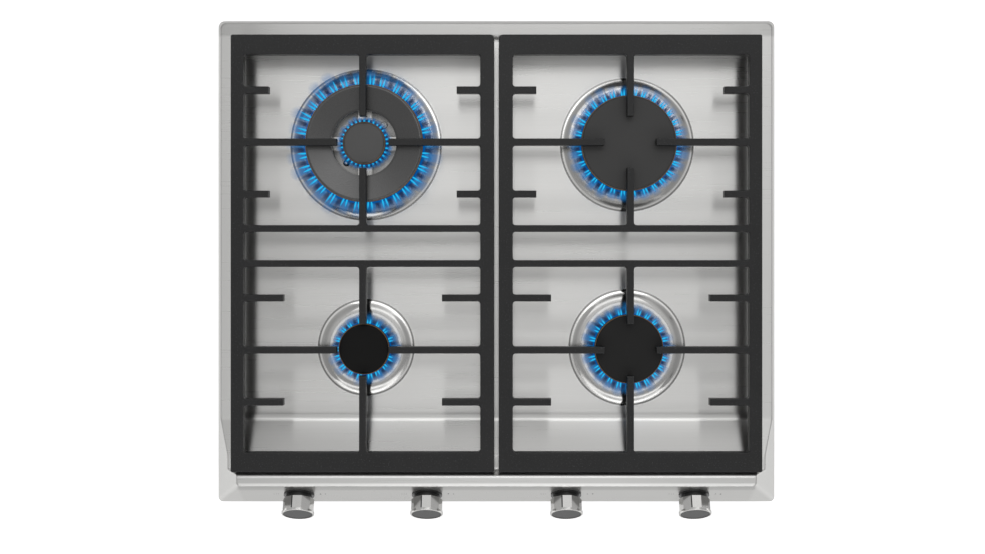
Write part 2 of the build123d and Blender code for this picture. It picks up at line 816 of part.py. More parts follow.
for name, x in zip(valve_names, knob_x):
    with BuildPart() as valve:
        with BuildSketch(knob_plane(x, -valve_back)):
            Rectangle(valve_width, valve_width)
        extrude(amount=valve_back - valve_front)
        with BuildSketch(knob_plane(x, -valve_front)):
            Circle(valve_nose)
        extrude(amount=valve_front - valve_nose_start)
        with BuildSketch(knob_plane(x, -rail_station - clamp_half)):
            with Locations((0, -valve_half - valve_foot / 2)):
                Rectangle(clamp_width, valve_foot)
        extrude(amount=2 * clamp_half)
        with BuildSketch(rail_plane(x - valve_width)):
            Circle(rail_radius + rail_play)
        extrude(amount=2 * valve_width, mode=Mode.SUBTRACT)
        with BuildSketch(knob_plane(x, plug_back - plug_play)):
            Circle(plug_radius + plug_play)
        extrude(amount=chamber_front - plug_back + plug_play, mode=Mode.SUBTRACT)
        with BuildSketch(knob_plane(x, chamber_front)):
            Circle(spindle_radius + spindle_play)
        extrude(amount=-chamber_front, mode=Mode.SUBTRACT)
        with BuildSketch(knob_plane(x, -valve_back)):
            Circle(pipe_radius - pipe_wall)
        extrude(amount=valve_back + plug_back, mode=Mode.SUBTRACT)
        with BuildSketch(knob_plane(x, -valve_back)):
            Circle(pipe_radius + pipe_play)
        extrude(amount=pipe_socket, mode=Mode.SUBTRACT)
        with BuildSketch(rail_port(x)):
            Circle(rail_wall)
        extrude(amount=rail_drop, mode=Mode.SUBTRACT)
        for screw_station in clamp_screw_stations:
            spot = knob_plane(x).from_local_coords((0, foot_low, screw_station))
            with BuildSketch(Plane(origin=spot, x_dir=(1, 0, 0), z_dir=knob_plane(x).y_dir)):
                Circle(screw_radius + screw_play / 2)
            extrude(amount=clamp_screw_length - clamp_split, mode=Mode.SUBTRACT)
    save(valve, f"valve_{name}")


def under_clamp(x, station):
    """Plane on a clamp screw's seat, facing up towards the valve."""
    spot = knob_plane(x).from_local_coords((0, clamp_chamfer - clamp_bottom, station))
    return Plane(origin=spot, x_dir=(1, 0, 0), z_dir=knob_plane(x).y_dir)


with BuildPart() as rail_clamps:
    for x in knob_x:
        with BuildSketch(knob_side(x).offset(-clamp_width / 2)):
            low, high = -clamp_bottom, foot_low - clamp_split
            with BuildLine():
                Polyline(
                    (-rail_station - clamp_half, high), (-rail_station + clamp_half, high),
                    (-rail_station + clamp_half, low + clamp_chamfer),
                    (-rail_station + clamp_half - clamp_chamfer, low),
                    (-rail_station - clamp_half + clamp_chamfer, low),
                    (-rail_station - clamp_half, low + clamp_chamfer), close=True,
                )
            make_face()
            with Locations((-rail_station, -rail_drop)):
                Circle(rail_radius + rail_play, mode=Mode.SUBTRACT)
            with Locations((-rail_station, high)):
                Rectangle(2 * (rail_radius + rail_play), 2 * (rail_drop + high), mode=Mode.SUBTRACT)
        extrude(amount=clamp_width)
        for screw_station in clamp_screw_stations:
            with BuildSketch(under_clamp(x, screw_station)):
                Circle(screw_radius + screw_play)
            extrude(amount=clamp_bottom, mode=Mode.SUBTRACT)
            with BuildSketch(under_clamp(x, screw_station)):
                Circle(screw_head + screw_play)
            extrude(amount=-clamp_chamfer, mode=Mode.SUBTRACT)
save(rail_clamps, "rail_clamps")

with BuildPart() as clamp_screws:
    for x in knob_x:
        for screw_station in clamp_screw_stations:
            with BuildSketch(under_clamp(x, screw_station)):
                Circle(screw_radius)
            extrude(amount=clamp_screw_length)
            with BuildSketch(under_clamp(x, screw_station)):
                Circle(screw_head)
            extrude(amount=-screw_head_height)
save(clamp_screws, "clamp_screws")

# spindle ends and the knob, as stations along the knob's axis
spindle_back = plug_front + push_travel + push_spare
slot_back = spindle_back - push_travel - tongue_length - push_spare
cavity = bezel_neck + bezel_play
cavity_end = knob_start + knob_cavity_depth
spindle_front = cavity_end + spindle_socket
disc_back = knob_end - disc_recess

for name, x in zip(valve_names, knob_x):
    with BuildPart() as plug:
        with BuildSketch(knob_plane(x, plug_back)):
            Circle(plug_radius)
        extrude(amount=plug_length)
        with BuildSketch(knob_plane(x, slot_back)):
            Rectangle(tongue_width + 2 * tongue_play, tongue_height + 2 * tongue_play)
        extrude(amount=plug_front - slot_back, mode=Mode.SUBTRACT)
        with BuildSketch(rail_port(x)):
            Circle(rail_wall)
        extrude(amount=rail_drop, mode=Mode.SUBTRACT)
        with BuildSketch(knob_plane(x, plug_back)):
            Circle(rail_wall)
        extrude(amount=plug_length / 2, mode=Mode.SUBTRACT)
    save(plug, f"valve_plug_{name}")

    with BuildPart() as spindle:
        with BuildSketch(knob_plane(x, spindle_back)):
            Circle(spindle_radius)
        extrude(amount=spindle_front - spindle_back)
        with BuildSketch(knob_plane(x, spindle_back)):
            Rectangle(tongue_width, tongue_height)
        extrude(amount=-tongue_length)
        with BuildSketch(knob_plane(x, cavity_end - boss_reach)):
            with Locations((0, 1.5 * spindle_radius - spindle_flat)):
                Rectangle(2 * spindle_radius, spindle_radius)
        extrude(amount=knob_end, mode=Mode.SUBTRACT)
    save(spindle, f"valve_spindle_{name}")

    with BuildPart() as knob:
        with BuildSketch(knob_plane(x, knob_start)):
            RegularPolygon(knob_radius - knob_facet_inset, knob_sides)
        extrude(amount=knob_length - knob_ring)
        with BuildSketch(knob_plane(x, knob_end)) as face:
            Circle(knob_radius)
        extrude(amount=-knob_ring)
        fillet(knob.edges().filter_by(GeomType.CIRCLE).sort_by_distance(face.sketch.center())[:1], knob_edge)
        with BuildSketch(knob_plane(x, knob_start)):
            Circle(cavity)
            Circle(boss_outer, mode=Mode.SUBTRACT)
        extrude(amount=knob_cavity_depth, mode=Mode.SUBTRACT)
        with BuildSketch(knob_plane(x, knob_start)):
            Circle(boss_outer)
        extrude(amount=knob_cavity_depth - boss_reach, mode=Mode.SUBTRACT)
        with BuildSketch(knob_plane(x, disc_back)):
            Circle(disc_radius + disc_play)
        extrude(amount=disc_recess, mode=Mode.SUBTRACT)
        with BuildSketch(knob_plane(x, knob_start)):
            Circle(spindle_radius + spindle_grip)
            with Locations((0, 1.5 * spindle_radius - spindle_flat + spindle_grip)):
                Rectangle(3 * spindle_radius, spindle_radius, mode=Mode.SUBTRACT)
        extrude(amount=spindle_front + spindle_grip - knob_start, mode=Mode.SUBTRACT)
        # pointer groove along one corner between two facets
        with BuildSketch(knob_plane(x, knob_start)):
            with PolarLocations(knob_radius, 1, start_angle=pointer_angle):
                Rectangle(2 * pointer_depth + 2 * knob_facet_inset, pointer_width)
        extrude(amount=knob_length - knob_ring, mode=Mode.SUBTRACT)
    save(knob, f"knob_{name}")

    with BuildPart() as disc:
        with BuildSketch(knob_plane(x, disc_back)):
            Circle(disc_radius)
        extrude(amount=disc_height)
    save(disc, f"knob_disc_{name}")

with BuildPart() as knob_bezels:
    for x in knob_x:
        with BuildSketch(knob_plane(x)):
            Circle(bezel_radius)
        extrude(amount=bezel_flange)
        with BuildSketch(knob_plane(x, bezel_flange)):
            Circle(bezel_neck)
            Circle(bezel_neck - bezel_wall, mode=Mode.SUBTRACT)
        extrude(amount=bezel_reach - bezel_flange)
        with BuildSketch(knob_plane(x)):
            Circle(bezel_plug)
        extrude(amount=-2 * sheet)
        with BuildSketch(knob_plane(x, -2 * sheet)):
            Circle(spindle_radius + spindle_play)
        extrude(amount=2 * sheet + bezel_flange, mode=Mode.SUBTRACT)
save(knob_bezels, "knob_bezels")

with BuildPart() as ignition_switches:
    for x in knob_x:
        with BuildSketch(knob_plane(x, -switch_station - switch_length / 2)):
            with Locations((0, valve_half + switch_height / 2)):
                Rectangle(switch_width, switch_height)
        extrude(amount=switch_length)
save(ignition_switches, "ignition_switches")

# ---------------------------------------------------------------------------------------------
# feed pipes, supply pipe, inlet elbow, spark generator and cable gland
# ---------------------------------------------------------------------------------------------
for name, x in zip(valve_names, knob_x):
    burner = burners[name]
    reach = burner["cap"] - collar_inset + boss_length - pipe_socket + pipe_play
    outward = cup_side(burner).z_dir
    end = Vector(burner["x"], burner["y"], pipe_z) + outward * reach
    start = knob_plane(x).from_local_coords((0, 0, pipe_socket - pipe_play - valve_back))
    level_station = (panel_z - pipe_z) / sin(panel_tilt)
    dip = knob_plane(x).from_local_coords((0, 0, -level_station))
    if burner["side"]:
        turns = [dip, Vector(x, burner["y"], pipe_z)]
    else:
        lead_start = end.Y - pipe_lead
        turn_start = lead_start - abs(burner["x"] - x)
        turns = [dip, Vector(x, turn_start, pipe_z), Vector(burner["x"], lead_start, pipe_z)]
    with BuildPart() as feed_pipe:
        with BuildLine() as route:
            FilletPolyline(start, *turns, end, radius=pipe_bend)
        with BuildSketch(knob_plane(x, pipe_socket - pipe_play - valve_back)):
            Circle(pipe_radius)
            Circle(pipe_radius - pipe_wall, mode=Mode.SUBTRACT)
        sweep(path=route.wires()[0])
    save(feed_pipe, f"feed_pipe_{name}")

rail_y, rail_z = rail_spot.Y, rail_spot.Z
with BuildPart() as supply_pipe:
    with BuildLine() as route:
        FilletPolyline(
            (rail_end - rail_wall, rail_y, rail_z), (inlet_x, rail_y, rail_z),
            (inlet_x, inlet_y - elbow_size / 2 + pipe_socket, rail_z), radius=supply_bend,
        )
    with BuildSketch(rail_plane(rail_end - rail_wall)):
        Circle(supply_radius)
        Circle(supply_radius - supply_wall, mode=Mode.SUBTRACT)
    sweep(path=route.wires()[0])
save(supply_pipe, "supply_pipe")

with BuildPart() as inlet_elbow:
    with BuildSketch(Plane((inlet_x, inlet_y, pocket_height))):
        Rectangle(elbow_size, elbow_size)
    extrude(amount=rail_z + elbow_top - pocket_height)
    with BuildSketch(Plane((inlet_x, inlet_y, pocket_height))):
        Circle(thread_neck)
    extrude(amount=-sheet)
    with BuildSketch(Plane((inlet_x, inlet_y, pocket_height - sheet))):
        Circle(thread_radius)
    extrude(amount=-thread_length)
    with BuildSketch(Plane((inlet_x, inlet_y, pocket_height - sheet - thread_length))):
        Circle(thread_bore)
    extrude(amount=thread_length + sheet + supply_radius, mode=Mode.SUBTRACT)
    with BuildSketch(Plane((inlet_x, inlet_y, pocket_height))):
        Circle(elbow_bore)
    extrude(amount=rail_z + elbow_bore - pocket_height, mode=Mode.SUBTRACT)
    entry = Plane(origin=(inlet_x, inlet_y - elbow_size / 2, rail_z), x_dir=(1, 0, 0), z_dir=(0, 1, 0))
    with BuildSketch(entry):
        Circle(supply_radius + pipe_play)
    extrude(amount=pipe_socket, mode=Mode.SUBTRACT)
    with BuildSketch(entry):
        Circle(supply_radius - supply_wall)
    extrude(amount=elbow_size / 2, mode=Mode.SUBTRACT)
save(inlet_elbow, "inlet_elbow")

with BuildPart() as spark_generator:
    with BuildSketch(Plane((spark_x, rear_edge - spark_rear_inset, sheet))):
        RectangleRounded(spark_size[0], spark_size[1], 2 * sheet)
    extrude(amount=spark_size[2])
    fillet(spark_generator.faces().sort_by(Axis.Z)[-1].edges(), sheet)
save(spark_generator, "spark_generator")

with BuildPart() as cable_gland:
    outside = wall_plane(((spark_x, box_rear, rim_z - gland_drop), (0, 1, 0)))
    with BuildSketch(outside):
        Circle(gland_flange)
    extrude(amount=gland_flange_height)
    with BuildSketch(outside):
        Circle(gland_radius)
    extrude(amount=-sheet)
    with BuildSketch(outside.offset(-sheet)):
        RegularPolygon(gland_flange, 6)
    extrude(amount=-gland_nut_height)
    with BuildSketch(outside.offset(gland_flange_height)):
        Circle(gland_bore)
    extrude(amount=-gland_flange_height - sheet - gland_nut_height, mode=Mode.SUBTRACT)
save(cable_gland, "cable_gland")

# ---------------------------------------------------------------------------------------------
# grates and their feet
# ---------------------------------------------------------------------------------------------
def bar(x_from, x_to, y_from, y_to):
    """Rectangle between two corners, in the sketch that is being drawn."""
    with Locations(((x_from + x_to) / 2, (y_from + y_to) / 2)):
        Rectangle(abs(x_to - x_from), abs(y_to - y_from))


def bar_roots(plan):
    """Corners of a flat plan where two bars meet: three of the four spots round them are solid."""
    face, reach = plan.face(), bar_root / 4
    roots = []
    for corner in plan.vertices():
        spots = [Vector(corner.X + x, corner.Y + y) for x in (-reach, reach) for y in (-reach, reach)]
        if sum(face.is_inside(spot) for spot in spots) == 3:
            roots.append(corner)
    return roots


def foot_places(side):
    """Centres of a grate's feet and the level each one stands on."""
    outside = side * (burner_x + grate_width / 2 - side_leg_inset - leg_width / 2)
    inside = side * (burner_x - grate_width / 2 + side_leg_inset + leg_width / 2)
    back = grate_rear - rear_leg_inset - leg_depth / 2
    front = grate_front + front_leg_inset + leg_depth / 2
    return [(x, y, stand) for x in (outside, inside) for y, stand in ((back, floor_z), (front, plateau_z))]


for hand, side in (("left", -1), ("right", 1)):
    middle = side * burner_x
    outer_face = middle + side * grate_width / 2
    inner_face = middle - side * grate_width / 2
    window_out = outer_face - side * outer_bar
    window_in = inner_face + side * inner_bar
    mid_y = (rear_row + front_row) / 2
    with BuildPart() as grate:
        with BuildSketch(Plane.XY.offset(grate_z)) as plan:
            with Locations((middle, (grate_front + grate_rear) / 2)):
                Rectangle(grate_width, grate_depth)
            with Locations(((window_out + window_in) / 2, (grate_front + grate_rear) / 2)):
                Rectangle(abs(window_out - window_in), grate_depth - 2 * end_bar, mode=Mode.SUBTRACT)
            for turn in (-1, 1):
                bar(window_in, window_out, mid_y + turn * mid_bar_gap / 2,
                    mid_y + turn * (mid_bar_gap / 2 + cross_bar))
            for row, far, near, tip in (
                (rear_row, grate_rear - end_bar, mid_y + mid_bar_gap / 2, rear_stub_tip),
                (front_row, grate_front + end_bar, mid_y - mid_bar_gap / 2, front_stub_tip),
            ):
                away = 1 if far > near else -1
                half = cross_bar / 2
                bar(middle - half, middle + half, far, row + away * finger_reach)
                bar(middle - half, middle + half, near, row - away * finger_reach)
                bar(window_out, middle + side * finger_reach, row - half, row + half)
                bar(window_in, middle - side * finger_reach, row - half, row + half)
                for step in (-stub_offset, stub_offset):
                    bar(window_out, middle + side * tip, row + step - half, row + step + half)
                    bar(window_in, middle - side * tip, row + step - half, row + step + half)
            fillet(bar_roots(plan), bar_root)
            for corner, radius in (
                ((outer_face, grate_front), grate_corner), ((outer_face, grate_rear), grate_corner),
                ((inner_face, grate_front), grate_corner), ((inner_face, grate_rear), grate_inner_corner),
            ):
                fillet(plan.vertices().sort_by_distance((*corner, 0))[0], radius)
        extrude(amount=grate_thickness)
        fillet(grate.faces().sort_by(Axis.Z)[-1].edges(), grate_edge)
        for x, y, stand in foot_places(side):
            with BuildSketch(Plane((x, y, stand + foot_height))):
                Rectangle(leg_width, leg_depth)
            extrude(amount=grate_z - stand - foot_height)
    save(grate, f"grate_{hand}")

    with BuildPart() as grate_feet:
        for x, y, stand in foot_places(side):
            with BuildSketch(Plane((x, y, stand))):
                Rectangle(leg_width - 2 * foot_inset, leg_depth - 2 * foot_inset)
            extrude(amount=foot_height)
    save(grate_feet, f"grate_feet_{hand}")
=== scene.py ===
# gas cooktop: finishes, flames, printed marks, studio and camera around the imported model
import json
import math
import random

import bmesh
import bpy
from mathutils import Matrix, Vector


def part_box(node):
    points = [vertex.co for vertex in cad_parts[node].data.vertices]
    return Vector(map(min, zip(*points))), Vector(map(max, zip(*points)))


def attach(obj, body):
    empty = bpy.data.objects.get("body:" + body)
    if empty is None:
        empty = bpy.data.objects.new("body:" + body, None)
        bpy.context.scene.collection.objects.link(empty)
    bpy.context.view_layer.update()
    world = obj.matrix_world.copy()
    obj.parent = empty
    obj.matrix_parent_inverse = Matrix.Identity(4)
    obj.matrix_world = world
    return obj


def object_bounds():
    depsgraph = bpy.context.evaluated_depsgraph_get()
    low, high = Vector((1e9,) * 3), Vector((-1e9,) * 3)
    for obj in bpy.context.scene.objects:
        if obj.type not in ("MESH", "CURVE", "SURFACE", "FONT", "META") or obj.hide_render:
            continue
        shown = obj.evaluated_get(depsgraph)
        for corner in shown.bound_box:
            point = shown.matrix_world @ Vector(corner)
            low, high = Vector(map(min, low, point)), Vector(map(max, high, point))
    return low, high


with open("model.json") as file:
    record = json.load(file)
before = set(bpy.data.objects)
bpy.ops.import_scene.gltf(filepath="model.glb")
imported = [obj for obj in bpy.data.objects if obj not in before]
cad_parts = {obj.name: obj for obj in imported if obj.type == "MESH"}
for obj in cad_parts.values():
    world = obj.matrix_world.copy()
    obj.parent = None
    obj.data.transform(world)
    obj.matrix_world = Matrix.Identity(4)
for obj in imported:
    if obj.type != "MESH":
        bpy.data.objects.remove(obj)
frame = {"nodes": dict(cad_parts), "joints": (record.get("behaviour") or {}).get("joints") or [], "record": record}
nodes = frame["nodes"]
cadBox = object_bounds()
print("frame loaded:", len(nodes), "nodes")

mm = 0.001
noiseSpan = (0.3, 0.7)  # a noise texture mostly keeps between these
knobOrder = ["auxiliary", "wok", "rapid", "semi_rapid"]  # from left to right


def middleOf(node):
    low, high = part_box(node)
    return (low + high) / 2


def capRadius(node):
    low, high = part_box(node)
    return (high.x - low.x) / 2


def rgb(*values):
    return (*values, 1.0)


def nodeAt(tree, kind, **settings):
    made = tree.nodes.new(kind)
    for key, value in settings.items():
        setattr(made, key, value)
    return made


def setInputs(made, **values):
    for key, value in values.items():
        made.inputs[key.replace("_", " ")].default_value = value
    return made


def feed(tree, socket, value):
    # another node's output is linked, anything else is set on the socket
    if isinstance(value, bpy.types.NodeSocket):
        tree.links.new(value, socket)
    else:
        socket.default_value = value


def mathNode(tree, operation, first, second=None, clamp=False):
    made = nodeAt(tree, "ShaderNodeMath", operation=operation, use_clamp=clamp)
    feed(tree, made.inputs[0], first)
    if second is not None:
        feed(tree, made.inputs[1], second)
    return made.outputs[0]


def times(tree, first, *others):
    for other in others:
        first = mathNode(tree, "MULTIPLY", first, other)
    return first


def vectorNode(tree, operation, *values, output="Vector"):
    made = nodeAt(tree, "ShaderNodeVectorMath", operation=operation)
    for index, value in enumerate(values):
        feed(tree, made.inputs[index], value)
    return made.outputs[output]


def axesOf(tree, vector):
    made = nodeAt(tree, "ShaderNodeSeparateXYZ")
    tree.links.new(vector, made.inputs[0])
    return made.outputs


def rangeNode(tree, value, low, high, toLow, toHigh, smooth=False):
    made = nodeAt(tree, "ShaderNodeMapRange",
                  interpolation_type="SMOOTHSTEP" if smooth else "LINEAR")
    for index, number in enumerate((value, low, high, toLow, toHigh)):
        feed(tree, made.inputs[index], number)
    return made.outputs[0]


def fadeNode(tree, value, low, high):
    # 1 up to low, softly down to 0 at high
    return rangeNode(tree, value, low, high, 1, 0, smooth=True)


def mixColour(tree, factor, first, second, blend="MIX"):
    made = nodeAt(tree, "ShaderNodeMix", data_type="RGBA", blend_type=blend)
    for index, value in ((0, factor), (6, first), (7, second)):
        feed(tree, made.inputs[index], value)
    return made.outputs[2]


def mixFloat(tree, factor, first, second):
    made = nodeAt(tree, "ShaderNodeMix", data_type="FLOAT")
    for index, value in ((0, factor), (2, first), (3, second)):
        feed(tree, made.inputs[index], value)
    return made.outputs[0]


def mixVector(tree, factor, first, second):
    made = nodeAt(tree, "ShaderNodeMix", data_type="VECTOR")
    for index, value in ((0, factor), (4, first), (5, second)):
        feed(tree, made.inputs[index], value)
    return made.outputs[1]


def shaded(tree, colour, level):
    # a colour made lighter or darker by a level
    grey = nodeAt(tree, "ShaderNodeCombineColor")
    for index in range(3):
        tree.links.new(level, grey.inputs[index])
    return mixColour(tree, 1.0, colour, grey.outputs[0], "MULTIPLY")


def stretched(tree, vector, scale):
    made = nodeAt(tree, "ShaderNodeMapping")
    made.inputs["Scale"].default_value = scale
    tree.links.new(vector, made.inputs["Vector"])
    return made.outputs[0]


def curveNode(tree, value, points, top=1.0):
    # smooth curve through (place, level) points, with levels from 0 to top
    made = nodeAt(tree, "ShaderNodeFloatCurve")
    curve = made.mapping.curves[0]
    low, high = points[0][0], points[-1][0]
    spots = [((place - low) / (high - low), level / top) for place, level in points]
    curve.points[0].location, curve.points[-1].location = spots[0], spots[-1]
    for spot in spots[1:-1]:
        curve.points.new(*spot)
    made.mapping.update()
    tree.links.new(rangeNode(tree, value, low, high, 0, 1), made.inputs["Value"])
    return times(tree, made.outputs[0], top)


def noise(tree, vector, detail, roughness=0.55, scale=1.0):
    made = nodeAt(tree, "ShaderNodeTexNoise")
    tree.links.new(vector, made.inputs["Vector"])
    feed(tree, made.inputs["Scale"], scale)
    return setInputs(made, Detail=detail, Roughness=roughness).outputs[0]


def newGroup(name, inputs, outputs):
    group = bpy.data.node_groups.new(name, "ShaderNodeTree")
    for label, kind, value in inputs:
        socket = group.interface.new_socket(label, in_out="INPUT", socket_type=kind)
        if value is not None:
            socket.default_value = value
    for label, kind in outputs:
        group.interface.new_socket(label, in_out="OUTPUT", socket_type=kind)
    given = group.nodes.new("NodeGroupInput").outputs
    return group, given, group.nodes.new("NodeGroupOutput").inputs


# effects that several materials share, each a node group
brushedLook = {
    # size of the lines' noise along x, y and z: long across the plate, thin the other ways
    "hair": (11, 1500, 1500), "band": (5, 640, 640), "cloud": (7, 9, 9),
    "hairShare": 0.6, "bandShare": 0.4, "cloudShare": 0.3, "middle": 0.65, "roughShare": 0.045,
}


def makeBrushedGroup(look):
    group, given, result = newGroup(
        "brushed lines",
        [("Vector", "NodeSocketVector", None), ("Colour", "NodeSocketColor", rgb(0.6, 0.6, 0.6)),
         ("Roughness", "NodeSocketFloat", 0.3), ("Contrast", "NodeSocketFloat", 0.2)],
        [("Colour", "NodeSocketColor"), ("Roughness", "NodeSocketFloat"),
         ("Height", "NodeSocketFloat")])
    hair = noise(group, stretched(group, given["Vector"], look["hair"]), 2)
    band = noise(group, stretched(group, given["Vector"], look["band"]), 3)
    cloud = noise(group, stretched(group, given["Vector"], look["cloud"]), 2)
    lines = mathNode(group, "ADD", times(group, hair, look["hairShare"]),
                     times(group, band, look["bandShare"]))
    offset = mathNode(group, "ADD", times(group, cloud, look["cloudShare"]),
                      mathNode(group, "SUBTRACT", lines, look["middle"]))
    shade = mathNode(group, "ADD", times(group, offset, given["Contrast"]), 1.0)
    group.links.new(shaded(group, given["Colour"], shade), result["Colour"])
    rough = mathNode(group, "ADD", given["Roughness"], times(group, offset, look["roughShare"]))
    group.links.new(rough, result["Roughness"])
    group.links.new(hair, result["Height"])
    return group


grainLook = {"patchSize": (22, 22, 22), "speckFrom": 0.58, "speckFull": 0.78}


def makeGrainGroup(look):
    group, given, result = newGroup(
        "cast grain",
        [("Vector", "NodeSocketVector", None), ("Colour", "NodeSocketColor", rgb(0.05, 0.05, 0.05)),
         ("Speck Colour", "NodeSocketColor", rgb(0.2, 0.2, 0.2)),
         ("Size", "NodeSocketFloat", 900.0), ("Specks", "NodeSocketFloat", 0.3),
         ("Patches", "NodeSocketFloat", 0.2)],
        [("Colour", "NodeSocketColor"), ("Height", "NodeSocketFloat")])
    fine = noise(group, given["Vector"], 3, 0.6, given["Size"])
    patch = noise(group, stretched(group, given["Vector"], look["patchSize"]), 4)
    specks = times(group, rangeNode(group, fine, look["speckFrom"], look["speckFull"], 0, 1),
                   given["Specks"])
    toned = times(group, mathNode(group, "SUBTRACT", patch, 0.5), given["Patches"])
    base = shaded(group, given["Colour"], mathNode(group, "ADD", toned, 1.0))
    group.links.new(mixColour(group, specks, base, given["Speck Colour"]), result["Colour"])
    group.links.new(fine, result["Height"])
    return group


def flatAway(tree, given):
    # way from the centre to the shaded point, level with the plate, and its length
    away = vectorNode(tree, "SUBTRACT", given["Vector"], given["Centre"])
    flat = vectorNode(tree, "MULTIPLY", away, (1, 1, 0))
    return flat, vectorNode(tree, "LENGTH", flat, output="Value")


def makeDiscGroup():
    group, given, result = newGroup(
        "round zone",
        [("Vector", "NodeSocketVector", None), ("Centre", "NodeSocketVector", None),
         ("Inner", "NodeSocketFloat", 0.02), ("Outer", "NodeSocketFloat", 0.03)],
        [("Mask", "NodeSocketFloat"), ("Distance", "NodeSocketFloat")])
    distance = flatAway(group, given)[1]
    group.links.new(fadeNode(group, distance, given["Inner"], given["Outer"]), result["Mask"])
    group.links.new(distance, result["Distance"])
    return group


cellLook = {
    "reach": (0.78, 1.22),  # the shortest and the longest flame, by chance
    # across a cell the port is 0 and the gap's middle 0.5, and along it the flame's tip is 1
    "tongueAcross": (0.16, 0.5), "tongueAlong": (0.35, 1.25),
    "gapAcross": (0.22, 0.42), "gapAlong": (0.3, 1.0), "rootAlong": (0.04, 0.18),
}


def makeFlameGroup(look):
    # splits the ring round a cap into one cell for each port
    group, given, result = newGroup(
        "flame cells",
        [("Vector", "NodeSocketVector", None), ("Centre", "NodeSocketVector", None),
         ("Ports", "NodeSocketFloat", 30.0), ("Edge", "NodeSocketFloat", 0.06),
         ("Reach", "NodeSocketFloat", 0.015)],
        [("Tongue", "NodeSocketFloat"), ("Gap", "NodeSocketFloat"), ("Root", "NodeSocketFloat"),
         ("Along", "NodeSocketFloat")])
    flat, distance = flatAway(group, given)
    parts = axesOf(group, flat)
    angle = mathNode(group, "ARCTAN2", parts["Y"], parts["X"])
    turns = times(group, mathNode(group, "DIVIDE", angle, 2 * math.pi), given["Ports"])
    cell = mathNode(group, "FLOOR", mathNode(group, "ADD", turns, 0.5))
    apart = mathNode(group, "ABSOLUTE", mathNode(group, "SUBTRACT", turns, cell))
    # a quarter more keeps rounding from giving one cell two numbers
    number = mathNode(group, "FLOORED_MODULO", mathNode(group, "ADD", cell, 0.25), given["Ports"])
    chance = nodeAt(group, "ShaderNodeTexWhiteNoise", noise_dimensions="1D")
    group.links.new(number, chance.inputs["W"])
    reach = times(group, given["Reach"],
                  rangeNode(group, chance.outputs["Value"], 0, 1, *look["reach"]))
    along = mathNode(group, "DIVIDE", mathNode(group, "SUBTRACT", distance, given["Edge"]), reach)
    tongue = times(group, fadeNode(group, apart, *look["tongueAcross"]),
                   fadeNode(group, along, *look["tongueAlong"]))
    gapShade = times(group, rangeNode(group, apart, *look["gapAcross"], 0, 1, smooth=True),
                fadeNode(group, along, *look["gapAlong"]))
    group.links.new(tongue, result["Tongue"])
    group.links.new(gapShade, result["Gap"])
    group.links.new(fadeNode(group, along, *look["rootAlong"]), result["Root"])
    group.links.new(along, result["Along"])
    return group


brushedGroup = makeBrushedGroup(brushedLook)
grainGroup = makeGrainGroup(grainLook)
discGroup = makeDiscGroup()
flameGroup = makeFlameGroup(cellLook)
print("shared effects ready")


def newMaterial(name, **values):
    material = bpy.data.materials.new(name)
    material.use_nodes = True
    tree = material.node_tree
    shader = tree.nodes["Principled BSDF"]
    setInputs(shader, **values)
    place = nodeAt(tree, "ShaderNodeTexCoord").outputs["Object"]
    return material, tree, shader, place


def effect(tree, group, place, **values):
    made = nodeAt(tree, "ShaderNodeGroup", node_tree=group)
    tree.links.new(place, made.inputs["Vector"])
    return setInputs(made, **values).outputs


def addBump(tree, shader, height, strength, distance, normal=None):
    bump = setInputs(nodeAt(tree, "ShaderNodeBump"), Strength=strength, Distance=distance)
    tree.links.new(height, bump.inputs["Height"])
    if normal is not None:
        tree.links.new(normal, bump.inputs["Normal"])
    tree.links.new(bump.outputs[0], shader.inputs["Normal"])


plateLook = {
    "colour": rgb(0.6, 0.597, 0.585), "roughness": 0.28, "anisotropy": 0.95, "contrast": 0.1,
    "edgeTint": rgb(0.6, 0.6, 0.6), "bump": 0.012, "bumpDepth": 0.02 * mm,
    "padRadius": {"cap_wok_ring": 81.5 * mm, "cap_rapid": 72.0 * mm,
                  "cap_auxiliary": 52.2 * mm, "cap_semi_rapid": 62.9 * mm},
    "padBlend": 2 * mm, "padRoughness": 0.14,
    # painted highlights and painted shade along the front against y, in mm: a dark line where the
    # ledge meets the panel, light lines on the ledge's two rounded edges, then a light line on the basin's front
    # edge with shade on the floor behind it
    "foldHighlightsAndShade": ((-232, 0.93), (-227.6, 0.74), (-226.4, 0.76), (-225.2, 1.35), (-223.2, 1.3),
              (-222.2, 0.93), (-217.6, 0.93), (-216.6, 1.3), (-215.4, 1.3), (-214.4, 1.0),
              (-163.5, 1.0), (-161.6, 1.3), (-159.6, 1.3), (-158.4, 0.86), (-150, 0.92),
              (-140, 1.0)),
    "foldReach": (268 * mm, 272 * mm),
    # painted highlights and painted shade on the burner pads against the distance from their outer edge, in mm:
    # light and dark rings in place of the reflections in the pads' folds, and the pads darkened overall
    "padHighlightsAndShade": ((-30, 0.9), (-17, 0.88), (-15.8, 1.3), (-14.6, 1.3), (-13.2, 0.82), (-5, 0.82),
                 (-3.3, 1.3), (-2.4, 1.1), (-1.8, 0.42), (-0.8, 0.42), (0.1, 1.05), (1.2, 1.0)),
    "toneTop": 2.0,
    # painted shade: the rear strip of the rim is darkened
    "rearShadeLevel": 0.79, "rearShadeStrip": (18 * mm, 15 * mm),
    # the basin's front wall and the pads' rings are shaded as softer folds than they are
    "wallFront": (-160.3 * mm, -159.4 * mm), "wallBack": (-151.2 * mm, -150.3 * mm),
    "wallReach": (269 * mm, 273 * mm), "softPads": 0.32, "upright": (0, 0.06, 1),
    "upFacing": 0.05,
}


